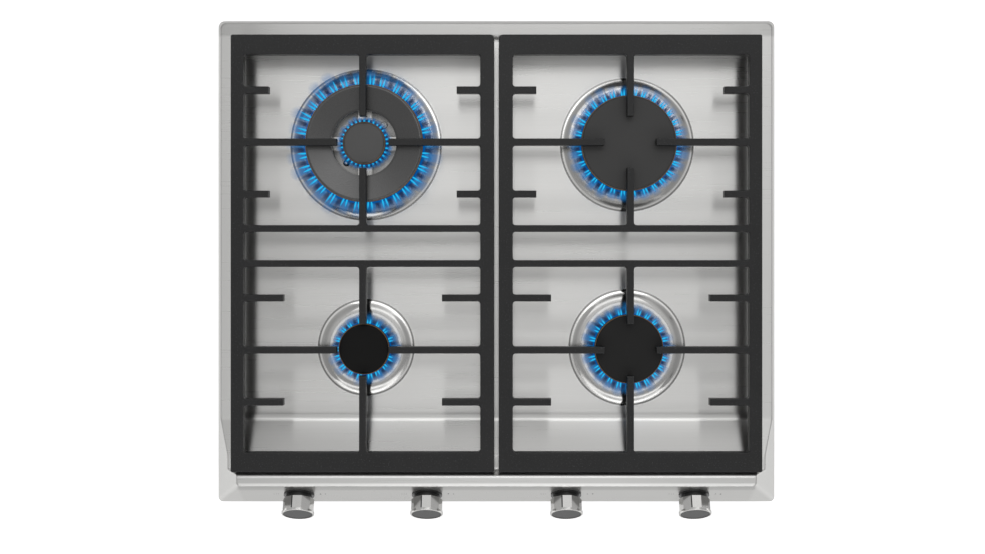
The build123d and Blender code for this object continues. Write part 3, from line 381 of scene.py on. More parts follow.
def makePlateMaterial(look):
    material, tree, shader, place = newMaterial(
        "brushed plate", Metallic=1.0, Anisotropic=look["anisotropy"],
        Specular_Tint=look["edgeTint"])
    lines = effect(tree, brushedGroup, place, Colour=look["colour"], Contrast=look["contrast"],
                   Roughness=look["roughness"])
    # 1 on the burner pads, and the distance beyond the nearest pad's outer edge
    pads, beyond = None, None
    for cap, radius in look["padRadius"].items():
        zone = effect(tree, discGroup, place, Centre=tuple(middleOf(cap)),
                      Inner=radius - look["padBlend"], Outer=radius)
        past = mathNode(tree, "SUBTRACT", zone["Distance"], radius)
        pads = zone["Mask"] if pads is None else mathNode(tree, "MAXIMUM", pads, zone["Mask"])
        beyond = past if beyond is None else mathNode(tree, "MINIMUM", beyond, past)
    where = axesOf(tree, place)
    aside = mathNode(tree, "ABSOLUTE", where["X"])
    inward = rangeNode(tree, aside, *look["foldReach"], 1, 0)
    # painted highlights and painted shade along the front folds
    foldHighlightsAndShade = curveNode(tree, mathNode(tree, "DIVIDE", where["Y"], mm), look["foldHighlightsAndShade"],
                      look["toneTop"])
    # painted highlights and painted shade in rings round the pads
    ringHighlightsAndShade = curveNode(tree, mathNode(tree, "DIVIDE", beyond, mm), look["padHighlightsAndShade"],
                      look["toneTop"])
    # painted shade on the rear strip of the rim
    rearShading = rangeNode(tree, where["Y"], *[cadBox[1].y - step for step in look["rearShadeStrip"]],
                     1, look["rearShadeLevel"])
    colour = mixColour(tree, inward, look["colour"], lines["Colour"])
    colour = shaded(tree, colour, mixFloat(tree, inward, 1.0, foldHighlightsAndShade))
    colour = mixColour(tree, pads, colour, look["colour"])
    colour = shaded(tree, colour, times(tree, rearShading, ringHighlightsAndShade))
    tree.links.new(colour, shader.inputs["Base Color"])
    rough = mixFloat(tree, pads, lines["Roughness"], look["padRoughness"])
    tree.links.new(rough, shader.inputs["Roughness"])

    wall = times(tree, rangeNode(tree, where["Y"], *look["wallFront"], 0, 1),
                 rangeNode(tree, where["Y"], *look["wallBack"], 1, 0),
                 rangeNode(tree, aside, *look["wallReach"], 1, 0))
    soft = mathNode(tree, "MAXIMUM", wall, times(tree, pads, look["softPads"]))
    facing = nodeAt(tree, "ShaderNodeNewGeometry").outputs["Normal"]
    soft = times(tree, soft, rangeNode(tree, axesOf(tree, facing)["Z"], 0, look["upFacing"], 0, 1))
    normal = vectorNode(tree, "NORMALIZE", mixVector(tree, soft, facing, look["upright"]))
    lineWay = nodeAt(tree, "ShaderNodeCombineXYZ")
    lineWay.inputs["Y"].default_value = 1.0
    tree.links.new(lineWay.outputs[0], shader.inputs["Tangent"])
    plain = times(tree, mathNode(tree, "SUBTRACT", 1.0, pads), inward)
    addBump(tree, shader, times(tree, lines["Height"], plain), look["bump"], look["bumpDepth"],
            normal)
    return material


# painted shade in a casting's hollows, painted highlights on edges broken up like wear, and the four lugs in the
# wok burner's middle kept out of the shade
hollowShadeLook = {"reach": 15 * mm, "samples": 8, "open": (0.08, 0.55)}
edgeWearAndHighlightLook = {"radius": 1.3 * mm, "samples": 4, "bend": (0.99, 0.9), "grain": (0.35, 0.6),
            "least": 0.3}
lugLook = {"node": "cap_wok_ring", "from": (25 * mm, 26 * mm), "to": (33.6 * mm, 34.6 * mm),
           "half": (7 * mm, 7.8 * mm)}
grainRough = 0.05


def lugMask(tree, place, look):
    # four lugs in a cross round the burner's middle
    centre = middleOf(look["node"])
    inner, outer = look["to"]
    zone = effect(tree, discGroup, place, Centre=tuple(centre), Inner=inner, Outer=outer)
    away = axesOf(tree, vectorNode(tree, "SUBTRACT", place, tuple(centre)))
    nearest = mathNode(tree, "MINIMUM", mathNode(tree, "ABSOLUTE", away["X"]),
                       mathNode(tree, "ABSOLUTE", away["Y"]))
    return times(tree, rangeNode(tree, nearest, *look["half"], 1, 0),
                 rangeNode(tree, zone["Distance"], *look["from"], 0, 1), zone["Mask"])


def makeGrainMaterial(name, colour, roughness, metallic=0.0, size=900.0, specks=0.3, patches=0.2,
                      speckColour=None, bump=0.3, depth=0.1 * mm, soot=None, edge=None, **extra):
    material, tree, shader, place = newMaterial(name, Metallic=metallic, **extra)
    grain = effect(tree, grainGroup, place, Colour=colour, Size=size, Specks=specks,
                   Patches=patches, Speck_Colour=speckColour or colour)
    colour = grain["Colour"]
    # painted shade: hollows darkened by ambient occlusion, except on the wok burner's four lugs
    if soot:
        hollow = setInputs(nodeAt(tree, "ShaderNodeAmbientOcclusion", samples=hollowShadeLook["samples"]),
                           Distance=hollowShadeLook["reach"])
        unshaded = rangeNode(tree, hollow.outputs["AO"], *hollowShadeLook["open"], 0, 1)
        unshaded = mathNode(tree, "MAXIMUM", unshaded, lugMask(tree, place, lugLook))
        colour = mixColour(tree, unshaded, soot, colour)
    # lighter edges: partly edge wear, partly a painted highlight along the rounded edges
    if edge:
        rounded = setInputs(nodeAt(tree, "ShaderNodeBevel", samples=edgeWearAndHighlightLook["samples"]),
                            Radius=edgeWearAndHighlightLook["radius"])
        facing = nodeAt(tree, "ShaderNodeNewGeometry").outputs["Normal"]
        bend = vectorNode(tree, "DOT_PRODUCT", rounded.outputs[0], facing, output="Value")
        wornAndLitEdge = times(tree, rangeNode(tree, bend, *edgeWearAndHighlightLook["bend"], 0, 1),
                     rangeNode(tree, grain["Height"], *edgeWearAndHighlightLook["grain"], edgeWearAndHighlightLook["least"], 1))
        colour = mixColour(tree, wornAndLitEdge, colour, edge)
    tree.links.new(colour, shader.inputs["Base Color"])
    rough = rangeNode(tree, grain["Height"], *noiseSpan, roughness - grainRough,
                      roughness + grainRough)
    tree.links.new(rough, shader.inputs["Roughness"])
    addBump(tree, shader, grain["Height"], bump, depth)
    return material


# what all caps share, and what each cap has of its own
capLook = {
    "size": 1400.0, "specks": 0.35, "patches": 0.25, "speckGain": 2.0, "speckLift": 0.01,
    "roughSpread": (-0.04, 0.06), "grainDepth": 0.012 * mm, "dish": 0.0, "sheen": 0.5,
    "rim": rgb(0.3, 0.18, 0.1), "rimWidth": 1.3 * mm, "rimFade": (2.6 * mm, 1.2 * mm),
    "sideTone": 0.12, "bore": 0.0, "boreEdge": (1.6 * mm, 2.4 * mm),
    "boreShadeColour": rgb(0.004, 0.004, 0.004),
}
# each cap's colour and sheen are set to how bright that cap shows under the light: lit and shaded copies of one
# black enamel, painted light and shade
capLooks = {
    "cap_wok_ring": {"colour": rgb(0.022, 0.0216, 0.0212), "roughness": 0.28, "dish": 11.0,
                     "sheen": 1.0, "bore": 34.4 * mm},
    "cap_wok_centre": {"colour": rgb(0.066, 0.0655, 0.065), "roughness": 0.42},
    "cap_rapid": {"colour": rgb(0.027, 0.0265, 0.026), "roughness": 0.48},
    "cap_semi_rapid": {"colour": rgb(0.01, 0.0098, 0.0096), "roughness": 0.6, "sheen": 0.25},
    "cap_auxiliary": {"colour": rgb(0.005, 0.0048, 0.0046), "roughness": 0.6, "sheen": 0.15},
}


def makeCapMaterial(node, look):
    material, tree, shader, place = newMaterial(node.replace("_", " "),
                                                Specular_IOR_Level=look["sheen"])
    speck = rgb(*[min(1, channel * look["speckGain"] + look["speckLift"])
                  for channel in look["colour"][:3]])
    grain = effect(tree, grainGroup, place, Colour=look["colour"], Size=look["size"],
                   Specks=look["specks"], Patches=look["patches"], Speck_Colour=speck)
    edge = capRadius(node)
    zone = effect(tree, discGroup, place, Centre=tuple(middleOf(node)),
                  Inner=edge - look["rimWidth"], Outer=edge - look["rimWidth"] / 2)
    enamel = grain["Colour"]
    # painted shade: a dark line at the ring cap's inner edge, where its chamfer faces away from the light
    if look["bore"]:
        boreShade = rangeNode(tree, zone["Distance"],
                           *[look["bore"] + step for step in look["boreEdge"]], 0, 1, smooth=True)
        enamel = mixColour(tree, boreShade, look["boreShadeColour"], enamel)
    # the worn line on the rim fades down the cap's side
    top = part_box(node)[1].z
    upper = rangeNode(tree, axesOf(tree, place)["Z"], *[top - step for step in look["rimFade"]],
                      0, 1, smooth=True)
    dull = rgb(*[look["sideTone"] * channel for channel in look["rim"][:3]])
    side = mixColour(tree, upper, dull, look["rim"])
    tree.links.new(mixColour(tree, zone["Mask"], side, enamel), shader.inputs["Base Color"])
    rough = rangeNode(tree, grain["Height"], *noiseSpan,
                      *[look["roughness"] + step for step in look["roughSpread"]])
    tree.links.new(rough, shader.inputs["Roughness"])
    hollow = times(tree, zone["Distance"], math.tan(math.radians(look["dish"])))
    height = mathNode(tree, "ADD", times(tree, grain["Height"], look["grainDepth"]), hollow)
    addBump(tree, shader, height, 1.0, 1.0)
    return material


chromeLook = {"edgeTint": rgb(0.35, 0.35, 0.35), "haze": (300, 300, 300), "rough": (0.06, 0.14),
              "dull": rgb(0.66, 0.655, 0.64), "bright": rgb(0.71, 0.705, 0.69)}


def makeChromeMaterial(look):
    material, tree, shader, place = newMaterial("knob chrome", Metallic=1.0,
                                                Specular_Tint=look["edgeTint"])
    haze = noise(tree, stretched(tree, place, look["haze"]), 4)
    tree.links.new(rangeNode(tree, haze, *noiseSpan, *look["rough"]), shader.inputs["Roughness"])
    tree.links.new(mixColour(tree, haze, look["dull"], look["bright"]),
                   shader.inputs["Base Color"])
    return material


zincLook = {"spangle": (70, 110, 90), "warp": (40, 40, 40), "rough": (0.38, 0.48),
            "dark": rgb(0.54, 0.545, 0.55), "light": rgb(0.63, 0.635, 0.64)}


def makeSpangleMaterial(look):
    # galvanised sheet: crystals with ragged edges, each in its own tone
    material, tree, shader, place = newMaterial("zinc sheet", Metallic=1.0)
    warp = noise(tree, stretched(tree, place, look["warp"]), 2)
    ragged = vectorNode(tree, "ADD", stretched(tree, place, look["spangle"]), warp)
    cells = setInputs(nodeAt(tree, "ShaderNodeTexVoronoi"), Scale=1.0)
    tree.links.new(ragged, cells.inputs["Vector"])
    tone = nodeAt(tree, "ShaderNodeSeparateColor")
    tree.links.new(cells.outputs["Color"], tone.inputs[0])
    tree.links.new(mixColour(tree, tone.outputs[0], look["dark"], look["light"]),
                   shader.inputs["Base Color"])
    tree.links.new(rangeNode(tree, tone.outputs[1], 0, 1, *look["rough"]),
                   shader.inputs["Roughness"])
    return material


grainLooks = {
    "grate_iron": {
        "name": "grate enamel", "colour": rgb(0.0078, 0.0078, 0.0081), "roughness": 0.46,
        "size": 700.0, "specks": 0.9, "patches": 1.1, "speckColour": rgb(0.06, 0.06, 0.063),
        "bump": 0.5, "depth": 0.12 * mm, "edge": rgb(0.06, 0.06, 0.061),
        # the edge colour is partly wear and partly a painted highlight along the bars' edges
        "Specular_IOR_Level": 0.38},
    "disc_grey": {
        "name": "disc lacquer", "colour": rgb(0.008, 0.008, 0.0085), "roughness": 0.42,
        "size": 1500.0, "specks": 0.2, "speckColour": rgb(0.03, 0.03, 0.03), "bump": 0.1,
        "depth": 0.02 * mm, "Specular_IOR_Level": 0.3},
    "black_plastic": {
        "name": "black plastic", "colour": rgb(0.012, 0.012, 0.012), "roughness": 0.35,
        "size": 1500.0, "specks": 0.1, "speckColour": rgb(0.04, 0.04, 0.04), "bump": 0.1,
        "depth": 0.02 * mm},
    "grey_plastic": {
        "name": "grey plastic", "colour": rgb(0.2, 0.21, 0.22), "roughness": 0.5,
        "size": 1200.0, "specks": 0.1, "speckColour": rgb(0.3, 0.3, 0.3), "bump": 0.2,
        "depth": 0.03 * mm},
    "cast_aluminium": {
        "name": "cast aluminium", "colour": rgb(0.66, 0.65, 0.63), "roughness": 0.36,
        "metallic": 1.0, "size": 700.0, "specks": 0.3, "speckColour": rgb(0.78, 0.77, 0.75),
        # the hollow colour is painted shade in the crowns' recesses
        "bump": 0.3, "depth": 0.05 * mm, "soot": rgb(0.13, 0.128, 0.125)},
    "cup_aluminium": {
        "name": "cup aluminium", "colour": rgb(0.62, 0.61, 0.6), "roughness": 0.42,
        "metallic": 1.0, "size": 600.0, "specks": 0.3, "speckColour": rgb(0.75, 0.74, 0.72),
        "bump": 0.3, "depth": 0.05 * mm},
    "valve_aluminium": {
        "name": "pressed aluminium", "colour": rgb(0.66, 0.66, 0.66), "roughness": 0.34,
        "metallic": 1.0, "size": 500.0, "specks": 0.2, "bump": 0.15, "depth": 0.03 * mm},
    "pipe_aluminium": {
        "name": "drawn aluminium", "colour": rgb(0.72, 0.72, 0.73), "roughness": 0.24,
        "metallic": 1.0, "size": 300.0, "specks": 0.1, "bump": 0.08, "depth": 0.02 * mm},
    "rail_steel": {
        "name": "plated steel", "colour": rgb(0.58, 0.58, 0.57), "roughness": 0.3,
        "metallic": 1.0, "size": 400.0, "specks": 0.2, "speckColour": rgb(0.7, 0.7, 0.68),
        "bump": 0.1, "depth": 0.02 * mm},
    "screw_steel": {
        "name": "zinc plating", "colour": rgb(0.62, 0.6, 0.54), "roughness": 0.3,
        "metallic": 1.0, "size": 900.0, "specks": 0.2, "bump": 0.1, "depth": 0.02 * mm},
    "probe_steel": {
        "name": "heat tinted steel", "colour": rgb(0.66, 0.62, 0.56), "roughness": 0.35,
        "metallic": 1.0, "size": 800.0, "specks": 0.3, "speckColour": rgb(0.2, 0.22, 0.3),
        "bump": 0.1, "depth": 0.02 * mm},
    "brass": {
        "name": "machined brass", "colour": rgb(0.74, 0.56, 0.27), "roughness": 0.28,
        "metallic": 1.0, "size": 500.0, "specks": 0.2, "speckColour": rgb(0.6, 0.42, 0.2),
        "bump": 0.1, "depth": 0.02 * mm},
    "ceramic": {
        "name": "glazed ceramic", "colour": rgb(0.82, 0.8, 0.75), "roughness": 0.2,
        "size": 500.0, "specks": 0.1, "speckColour": rgb(0.6, 0.56, 0.5), "bump": 0.05,
        "depth": 0.02 * mm, "Coat_Weight": 0.5},
    "seal_rubber": {
        "name": "foam rubber", "colour": rgb(0.02, 0.02, 0.02), "roughness": 0.8,
        "size": 1300.0, "specks": 0.3, "speckColour": rgb(0.05, 0.05, 0.05), "bump": 0.6,
        "depth": 0.15 * mm},
    "foot_rubber": {
        "name": "foot rubber", "colour": rgb(0.02, 0.02, 0.02), "roughness": 0.7,
        "size": 900.0, "specks": 0.1, "bump": 0.2, "depth": 0.05 * mm},
}

finishes = {slot: makeGrainMaterial(**look) for slot, look in grainLooks.items()}
finishes["plate_steel"] = makePlateMaterial(plateLook)
finishes["knob_chrome"] = makeChromeMaterial(chromeLook)
finishes["box_steel"] = makeSpangleMaterial(zincLook)
for entry in frame["record"]["subparts"]:
    label = entry["node"]
    if label in capLooks:
        material = makeCapMaterial(label, {**capLook, **capLooks[label]})
    else:
        material = finishes[entry["material_slot"]]
    nodes[label].data.materials.clear()
    nodes[label].data.materials.append(material)
print("finishes on the packed nodes")


def newPiece(name, bm, material, body):
    mesh = bpy.data.meshes.new(name)
    bm.to_mesh(mesh)
    bm.free()
    mesh.materials.append(material)
    piece = bpy.data.objects.new(name, mesh)
    bpy.context.scene.collection.objects.link(piece)
    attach(piece, body)


# flames: colours, the chance in their bright tongues, and one entry for each ring, in mm
flameLook = {
    # the gap colour is painted shade between the flames
    "haze": rgb(0.012, 0.16, 0.43), "root": rgb(0.0, 0.09, 0.34), "gapShade": rgb(0.014, 0.03, 0.085),
    "core": rgb(0.02, 0.5, 0.9), "coreTip": rgb(0.01, 0.3, 0.72),
    "tongueAlpha": 0.58, "gapShadeAlpha": 0.75, "rootAlpha": 0.92, "coreAlpha": 0.85,
    "veilFacing": (0.25, 1.0), "coreFacing": (0.05, 0.95), "coreFade": (0.15, 0.9),
    "wisps": (120, 120, 90), "wispSpan": (0.35, 0.65), "wispLeast": 0.7,
    "seed": 11, "turnChance": 0.1, "sideChance": 0.3, "longChance": (0.55, 0.95),
    "portRise": 1.5, "veilRise": 1, "coreHigh": 0.8,
}
flameRings = {
    "flames_wok_outer": {"cap": "cap_wok_ring", "body": "crown_wok", "count": 30, "long": 17,
                         "high": 8, "cores": (2, 2), "apart": 4.0, "wide": 2.3, "deep": 5},
    "flames_wok_centre": {"cap": "cap_wok_centre", "body": "crown_wok", "count": 32, "long": 6,
                          "high": 3, "cores": (1, 1), "apart": 0, "wide": 2.1, "deep": 3},
    "flames_rapid": {"cap": "cap_rapid", "body": "crown_rapid", "count": 30, "long": 12.5,
                     "high": 7, "cores": (2, 2), "apart": 3.0, "wide": 2.2, "deep": 4.5},
    "flames_semi_rapid": {"cap": "cap_semi_rapid", "body": "crown_semi_rapid", "count": 24,
                          "long": 11.5, "high": 7, "cores": (2, 2), "apart": 2.8, "wide": 2.1,
                          "deep": 4.5},
    "flames_auxiliary": {"cap": "cap_auxiliary", "body": "crown_auxiliary", "count": 18,
                         "long": 10, "high": 6, "cores": (2, 2), "apart": 2.8, "wide": 2.1,
                         "deep": 4},
}


def newFlameMaterial(name, ring, facing):
    # a glow with no surface of its own, soft where the mesh turns away
    material, tree, shader, place = newMaterial(name, Base_Color=rgb(0, 0, 0), Roughness=1.0,
                                                Specular_IOR_Level=0.0, Emission_Strength=1.0)
    cells = effect(tree, flameGroup, place, Centre=tuple(middleOf(ring["cap"])),
                   Ports=float(ring["count"]), Edge=capRadius(ring["cap"]),
                   Reach=ring["long"] * mm)
    weight = setInputs(nodeAt(tree, "ShaderNodeLayerWeight"), Blend=0.5)
    soft = fadeNode(tree, weight.outputs["Facing"], *facing)
    return material, tree, shader, place, cells, soft


def makeVeilMaterial(name, ring, look):
    # blue veil: deep blue at the ports, pale in the tongues, and painted shade between them: a dark sheet in place
    # of the pad's dark reflection
    material, tree, shader, place, cells, soft = newFlameMaterial(name, ring, look["veilFacing"])
    colour = mixColour(tree, cells["Gap"], look["haze"], look["gapShade"])
    tree.links.new(mixColour(tree, cells["Root"], colour, look["root"]),
                   shader.inputs["Emission Color"])
    alpha = times(tree, cells["Tongue"], look["tongueAlpha"])
    alpha = mathNode(tree, "MAXIMUM", alpha, times(tree, cells["Gap"], look["gapShadeAlpha"]))
    alpha = mathNode(tree, "MAXIMUM", alpha, times(tree, cells["Root"], look["rootAlpha"]))
    wisp = rangeNode(tree, noise(tree, stretched(tree, place, look["wisps"]), 2),
                     *look["wispSpan"], look["wispLeast"], 1.0)
    alpha = mathNode(tree, "MULTIPLY", times(tree, alpha, soft), wisp, clamp=True)
    tree.links.new(alpha, shader.inputs["Alpha"])
    return material


def makeCoreMaterial(name, ring, look):
    # bright tongues that thin out towards their tips
    material, tree, shader, _, cells, soft = newFlameMaterial(name, ring, look["coreFacing"])
    fade = fadeNode(tree, cells["Along"], *look["coreFade"])
    tree.links.new(mixColour(tree, fade, look["coreTip"], look["core"]),
                   shader.inputs["Emission Color"])
    alpha = mathNode(tree, "MULTIPLY", times(tree, soft, fade), look["coreAlpha"], clamp=True)
    tree.links.new(alpha, shader.inputs["Alpha"])
    return material


veilShape = {"sides": 12, "middle": 0.5, "spread": 0.8, "tall": 0.5, "slope": 0.4, "steps": 6,
             "lobeOut": 0.16, "lobeUp": 0.25}


def addVeil(bm, ring, edge, level, shape):
    # closed ring with one soft lobe for each port
    made = bmesh.ops.create_circle(bm, segments=shape["sides"], radius=1.0)
    for vert in made["verts"]:
        out = shape["middle"] + shape["spread"] * vert.co.x
        up = shape["tall"] * vert.co.y * ring["deep"] + shape["slope"] * vert.co.x * ring["high"]
        vert.co = Vector((edge + out * ring["long"] * mm, 0, level + up * mm))
    bmesh.ops.spin(bm, geom=made["verts"] + bm.edges[:], cent=(0, 0, 0), axis=(0, 0, 1),
                   dvec=(0, 0, 0), angle=2 * math.pi, steps=ring["count"] * shape["steps"],
                   use_merge=True)
    for vert in bm.verts:
        out = vert.co.xy.length
        lobe = 0.5 * math.cos(ring["count"] * math.atan2(vert.co.y, vert.co.x))
        beyond = max(0, (out - edge) / (ring["long"] * mm))
        vert.co.xy *= 1 + lobe * shape["lobeOut"] * beyond * ring["long"] * mm / out
        vert.co.z += lobe * shape["lobeUp"] * beyond * ring["high"] * mm


streakShape = {"sides": 8, "inset": 1.5 * mm, "fat": 1.15, "blunt": 0.3, "near": 0.75,
               "splay": 0.5, "curl": 1.5}


def addStreak(bm, turn, side, edge, level, length, wide, high, shape):
    # thin bright tongue: a stretched ball with a drawn-out tip, rising away from its port
    made = bmesh.ops.create_uvsphere(bm, u_segments=shape["sides"], v_segments=shape["sides"],
                                     radius=1.0)
    for vert in made["verts"]:
        along = (vert.co.z + 1) / 2
        half = wide / 2 * shape["fat"] * (1 - along) ** shape["blunt"]
        vert.co = Vector((edge - shape["inset"] + length * along,
                          side * (shape["near"] + shape["splay"] * along) + vert.co.y * half,
                          level + high * along ** shape["curl"] + vert.co.x * half))
    bmesh.ops.rotate(bm, verts=made["verts"], cent=(0, 0, 0),
                     matrix=Matrix.Rotation(turn, 3, "Z"))


def makeFlames(name, ring, look):
    random.seed(look["seed"])
    edge = capRadius(ring["cap"])
    middle = middleOf(ring["cap"])
    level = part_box(ring["cap"])[0].z + look["portRise"] * mm
    veil, core = bmesh.new(), bmesh.new()
    addVeil(veil, ring, edge, level + look["veilRise"] * mm, veilShape)
    for index in range(ring["count"]):
        chance = random.uniform(-look["turnChance"], look["turnChance"])
        turn = 2 * math.pi * (index + chance) / ring["count"]
        cores = random.randint(*ring["cores"])
        for step in range(cores):
            side = (step - (cores - 1) / 2) * ring["apart"] / max(1, cores - 1)
            side += random.uniform(-look["sideChance"], look["sideChance"])
            length = ring["long"] * random.uniform(*look["longChance"])
            addStreak(core, turn, side * mm, edge, level + ring["deep"] / 2 * mm, length * mm,
                      ring["wide"] * mm, ring["high"] * look["coreHigh"] * mm, streakShape)
    veilMaterial = makeVeilMaterial(name + "_veil", ring, look)
    coreMaterial = makeCoreMaterial(name + "_cores", ring, look)
    for suffix, bm, material in (("", veil, veilMaterial), ("_cores", core, coreMaterial)):
        bmesh.ops.recalc_face_normals(bm, faces=bm.faces)
        bmesh.ops.translate(bm, verts=bm.verts, vec=(middle.x, middle.y, 0))
        for face in bm.faces:
            face.smooth = True
        newPiece(name + suffix, bm, material, ring["body"])


for name, ring in flameRings.items():
    makeFlames(name, ring, flameLook)
print("flames lit")


# printed marks on the knob panel, and paint in the knobs' pointer grooves
panelLook = {
    "ink": {"name": "panel ink", "colour": rgb(0.12, 0.12, 0.12), "roughness": 0.6,
            "size": 2000.0, "specks": 0.1, "bump": 0.05, "depth": 0.01 * mm},
    "proud": 0.06 * mm, "up": 1.0 * mm, "sides": 16, "dot": 0.55 * mm, "ring": 0.9 * mm,
    "left": 24.0 * mm, "dash": 2.3 * mm, "right": 22.6 * mm, "pitch": (5.4 * mm, 2.4 * mm),
    # column and row of each burner in the little map
    "map": {"auxiliary": (0, 0), "wok": (0, 1), "rapid": (1, 1), "semi_rapid": (1, 0)},
}
grooveLook = {
    "paint": {"name": "groove paint", "colour": rgb(0.012, 0.012, 0.012), "roughness": 0.45,
              "size": 1800.0, "specks": 0.1, "speckColour": rgb(0.03, 0.03, 0.03),
              "bump": 0.1, "depth": 0.01 * mm},
    "angle": 108.0, "floor": 15.75 * mm, "thick": 0.6 * mm, "wide": 1.25 * mm,
    "start": 6.3 * mm, "end": 19.2 * mm, "bevel": 0.05 * mm,
}


def knobFrame(name):
    # a knob's middle on the panel, and the turn that takes x across, y up and z out of the panel
    joint = next(j for j in frame["joints"] if j["name"] == f"knob_{name}_turn")
    axis = Vector(joint["axis"]).normalized()
    side = Vector((1, 0, 0))
    return Vector(joint["pos_m"]), Matrix((side, axis.cross(side), axis)).transposed()


def makeMarks(look):
    # three dots at the left of each knob, and at its right a map of the four burners
    bm = bmesh.new()
    for name in knobOrder:
        origin, turn = knobFrame(name)
        dots = [(-look["left"] - step * look["dash"], look["up"], look["dot"])
                for step in (-1, 0, 1)]
        for other, (column, row) in look["map"].items():
            dots.append((look["right"] + column * look["pitch"][0],
                         look["up"] + (row - 0.5) * look["pitch"][1],
                         look["ring"] if other == name else look["dot"]))
        for across, up, radius in dots:
            made = bmesh.ops.create_circle(bm, cap_ends=True, segments=look["sides"],
                                           radius=radius)
            bmesh.ops.rotate(bm, verts=made["verts"], cent=(0, 0, 0), matrix=turn)
            bmesh.ops.translate(bm, verts=made["verts"],
                                vec=origin + turn @ Vector((across, up, look["proud"])))
    newPiece("panel_marks", bm, makeGrainMaterial(**look["ink"]), "root")


def makeGroovePaint(look):
    # one bar of paint along a corner of each knob
    paint = makeGrainMaterial(**look["paint"])
    for name in knobOrder:
        origin, turn = knobFrame(name)
        bm = bmesh.new()
        bmesh.ops.create_cube(bm, size=1.0)
        bmesh.ops.scale(bm, verts=bm.verts,
                        vec=(look["thick"], look["wide"], look["end"] - look["start"]))
        bmesh.ops.bevel(bm, geom=bm.edges[:], offset=look["bevel"], offset_type="OFFSET",
                        segments=1, profile=0.5, affect="EDGES", material=-1)
        bmesh.ops.translate(bm, verts=bm.verts, vec=(look["floor"] + look["thick"] / 2, 0,
                                                     (look["start"] + look["end"]) / 2))
        around = Matrix.Rotation(math.radians(look["angle"]), 3, "Z")
        bmesh.ops.rotate(bm, verts=bm.verts, cent=(0, 0, 0), matrix=turn @ around)
        bmesh.ops.translate(bm, verts=bm.verts, vec=origin)
        newPiece("groove_paint_" + name, bm, paint, "knob_" + name)


makeMarks(panelLook)
makeGroovePaint(grooveLook)
print("panel marks and groove paint done")


# studio: a pale floor, a world of soft panels and two lamps
floorLook = {"size": 6.0, "colour": rgb(0.86, 0.86, 0.86), "glow": 0.6}
worldLook = {
    # level against the tilt from straight up, in degrees, front negative and back positive
    "levels": ((-90, 0.5), (-56, 0.62), (-34, 0.86), (-17, 0.5), (-6, 0.9), (4, 0.92),
               (16, 0.86), (45, 0.82), (66, 0.5), (90, 0.45)),
    # two steps down to the sides: the sine of the angle from the middle plane where a step
    # starts and ends, and the part of the light left after it, in front and at the back
    "steps": ((0.045, 0.15, 0.61, 0.97), (0.28, 0.6, 0.68, 0.68)), "frontBack": (-0.1, 0.1),
    "rightward": 1.3, "rightReach": (0.25, 0.5),  # more light on the right, near the middle
    "dimmest": 0.5, "backdrop": 1.0,
}
lampLooks = {
    "back lamp": {"spot": (0.03, 0.72, 1.9), "size": (1.2, 0.5), "radiance": 1.5},
    "front lamp": {"spot": (0, -1.15, 1.6), "size": (2.4, 0.35), "radiance": 2.0},
}
lampAim = (0, 0, 0.05)
cameraLook = {"spot": (0.0, 0.0199, 1.555), "lens": 51.39, "sensor": 36.0,
              "shift": (-0.00406, -0.0274)}


def makeFloor(look):
    bm = bmesh.new()
    bmesh.ops.create_grid(bm, x_segments=1, y_segments=1, size=look["size"] / 2)
    mesh = bpy.data.meshes.new("floor")
    bm.to_mesh(mesh)
    bm.free()
    floor = bpy.data.objects.new("floor", mesh)
    bpy.context.scene.collection.objects.link(floor)
    material, tree, shader, _ = newMaterial(
        "studio floor", Base_Color=look["colour"], Emission_Color=rgb(1, 1, 1), Roughness=0.9,
        Specular_IOR_Level=0.1)
    rays = nodeAt(tree, "ShaderNodeLightPath").outputs
    seen = mathNode(tree, "ADD", rays["Is Camera Ray"], rays["Is Glossy Ray"])
    seen = mathNode(tree, "ADD", seen, rays["Is Transmission Ray"], clamp=True)
    tree.links.new(times(tree, seen, look["glow"]), shader.inputs["Emission Strength"])
    mesh.materials.append(material)


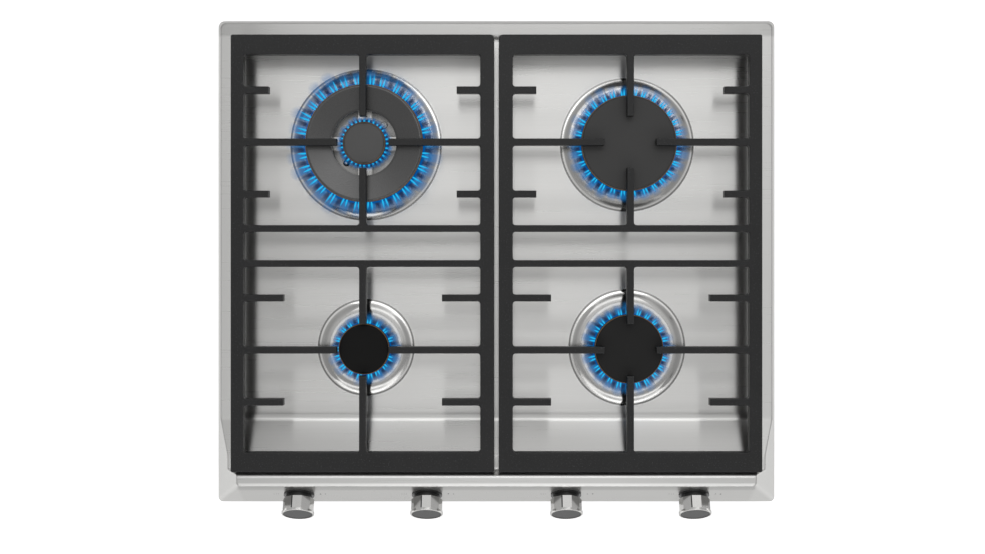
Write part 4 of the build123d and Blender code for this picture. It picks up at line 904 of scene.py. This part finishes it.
def makeWorld(look):
    world = bpy.data.worlds.new("studio")
    world.use_nodes = True
    bpy.context.scene.world = world
    tree = world.node_tree
    background = setInputs(tree.nodes["Background"], Color=rgb(1, 1, 1))
    way = axesOf(tree, nodeAt(tree, "ShaderNodeTexCoord").outputs["Generated"])
    aside = mathNode(tree, "ABSOLUTE", way["X"])
    tilt = mathNode(tree, "DEGREES", mathNode(tree, "ARCTAN2", way["Y"], way["Z"]))
    level = curveNode(tree, tilt, look["levels"])
    for start, end, front, back in look["steps"]:
        step = rangeNode(tree, aside, start, end, 0, 1, smooth=True)
        part = rangeNode(tree, way["Y"], *look["frontBack"], front, back, smooth=True)
        level = times(tree, level, mixFloat(tree, step, 1.0, part))
    slant = times(tree, way["X"], mathNode(tree, "ABSOLUTE", way["Y"]))
    near = rangeNode(tree, aside, *look["rightReach"], look["rightward"], 0, smooth=True)
    level = mathNode(tree, "ADD", level, times(tree, slant, near))
    level = mathNode(tree, "MAXIMUM", level, look["dimmest"])
    seen = nodeAt(tree, "ShaderNodeLightPath").outputs["Is Camera Ray"]
    tree.links.new(mixFloat(tree, seen, level, look["backdrop"]), background.inputs["Strength"])


def makeLamp(name, look):
    lamp = bpy.data.lights.new(name, "AREA")
    lamp.shape = "RECTANGLE"
    lamp.size, lamp.size_y = look["size"]
    lamp.energy = look["radiance"] * math.pi * math.prod(look["size"])
    holder = bpy.data.objects.new(name, lamp)
    bpy.context.scene.collection.objects.link(holder)
    way = (Vector(lampAim) - Vector(look["spot"])).to_track_quat("-Z", "Y")
    holder.matrix_world = Matrix.Translation(look["spot"]) @ way.to_matrix().to_4x4()


def makeCamera(look):
    data = bpy.data.cameras.new("camera")
    data.sensor_fit = "HORIZONTAL"
    data.sensor_width = look["sensor"]
    data.lens = look["lens"]
    data.shift_x, data.shift_y = look["shift"]
    camera = bpy.data.objects.new("camera", data)
    bpy.context.scene.collection.objects.link(camera)
    camera.location = look["spot"]
    bpy.context.scene.camera = camera


makeFloor(floorLook)
makeWorld(worldLook)
for name, look in lampLooks.items():
    makeLamp(name, look)
makeCamera(cameraLook)
bpy.context.scene.view_settings.view_transform = "Standard"
print("studio ready")
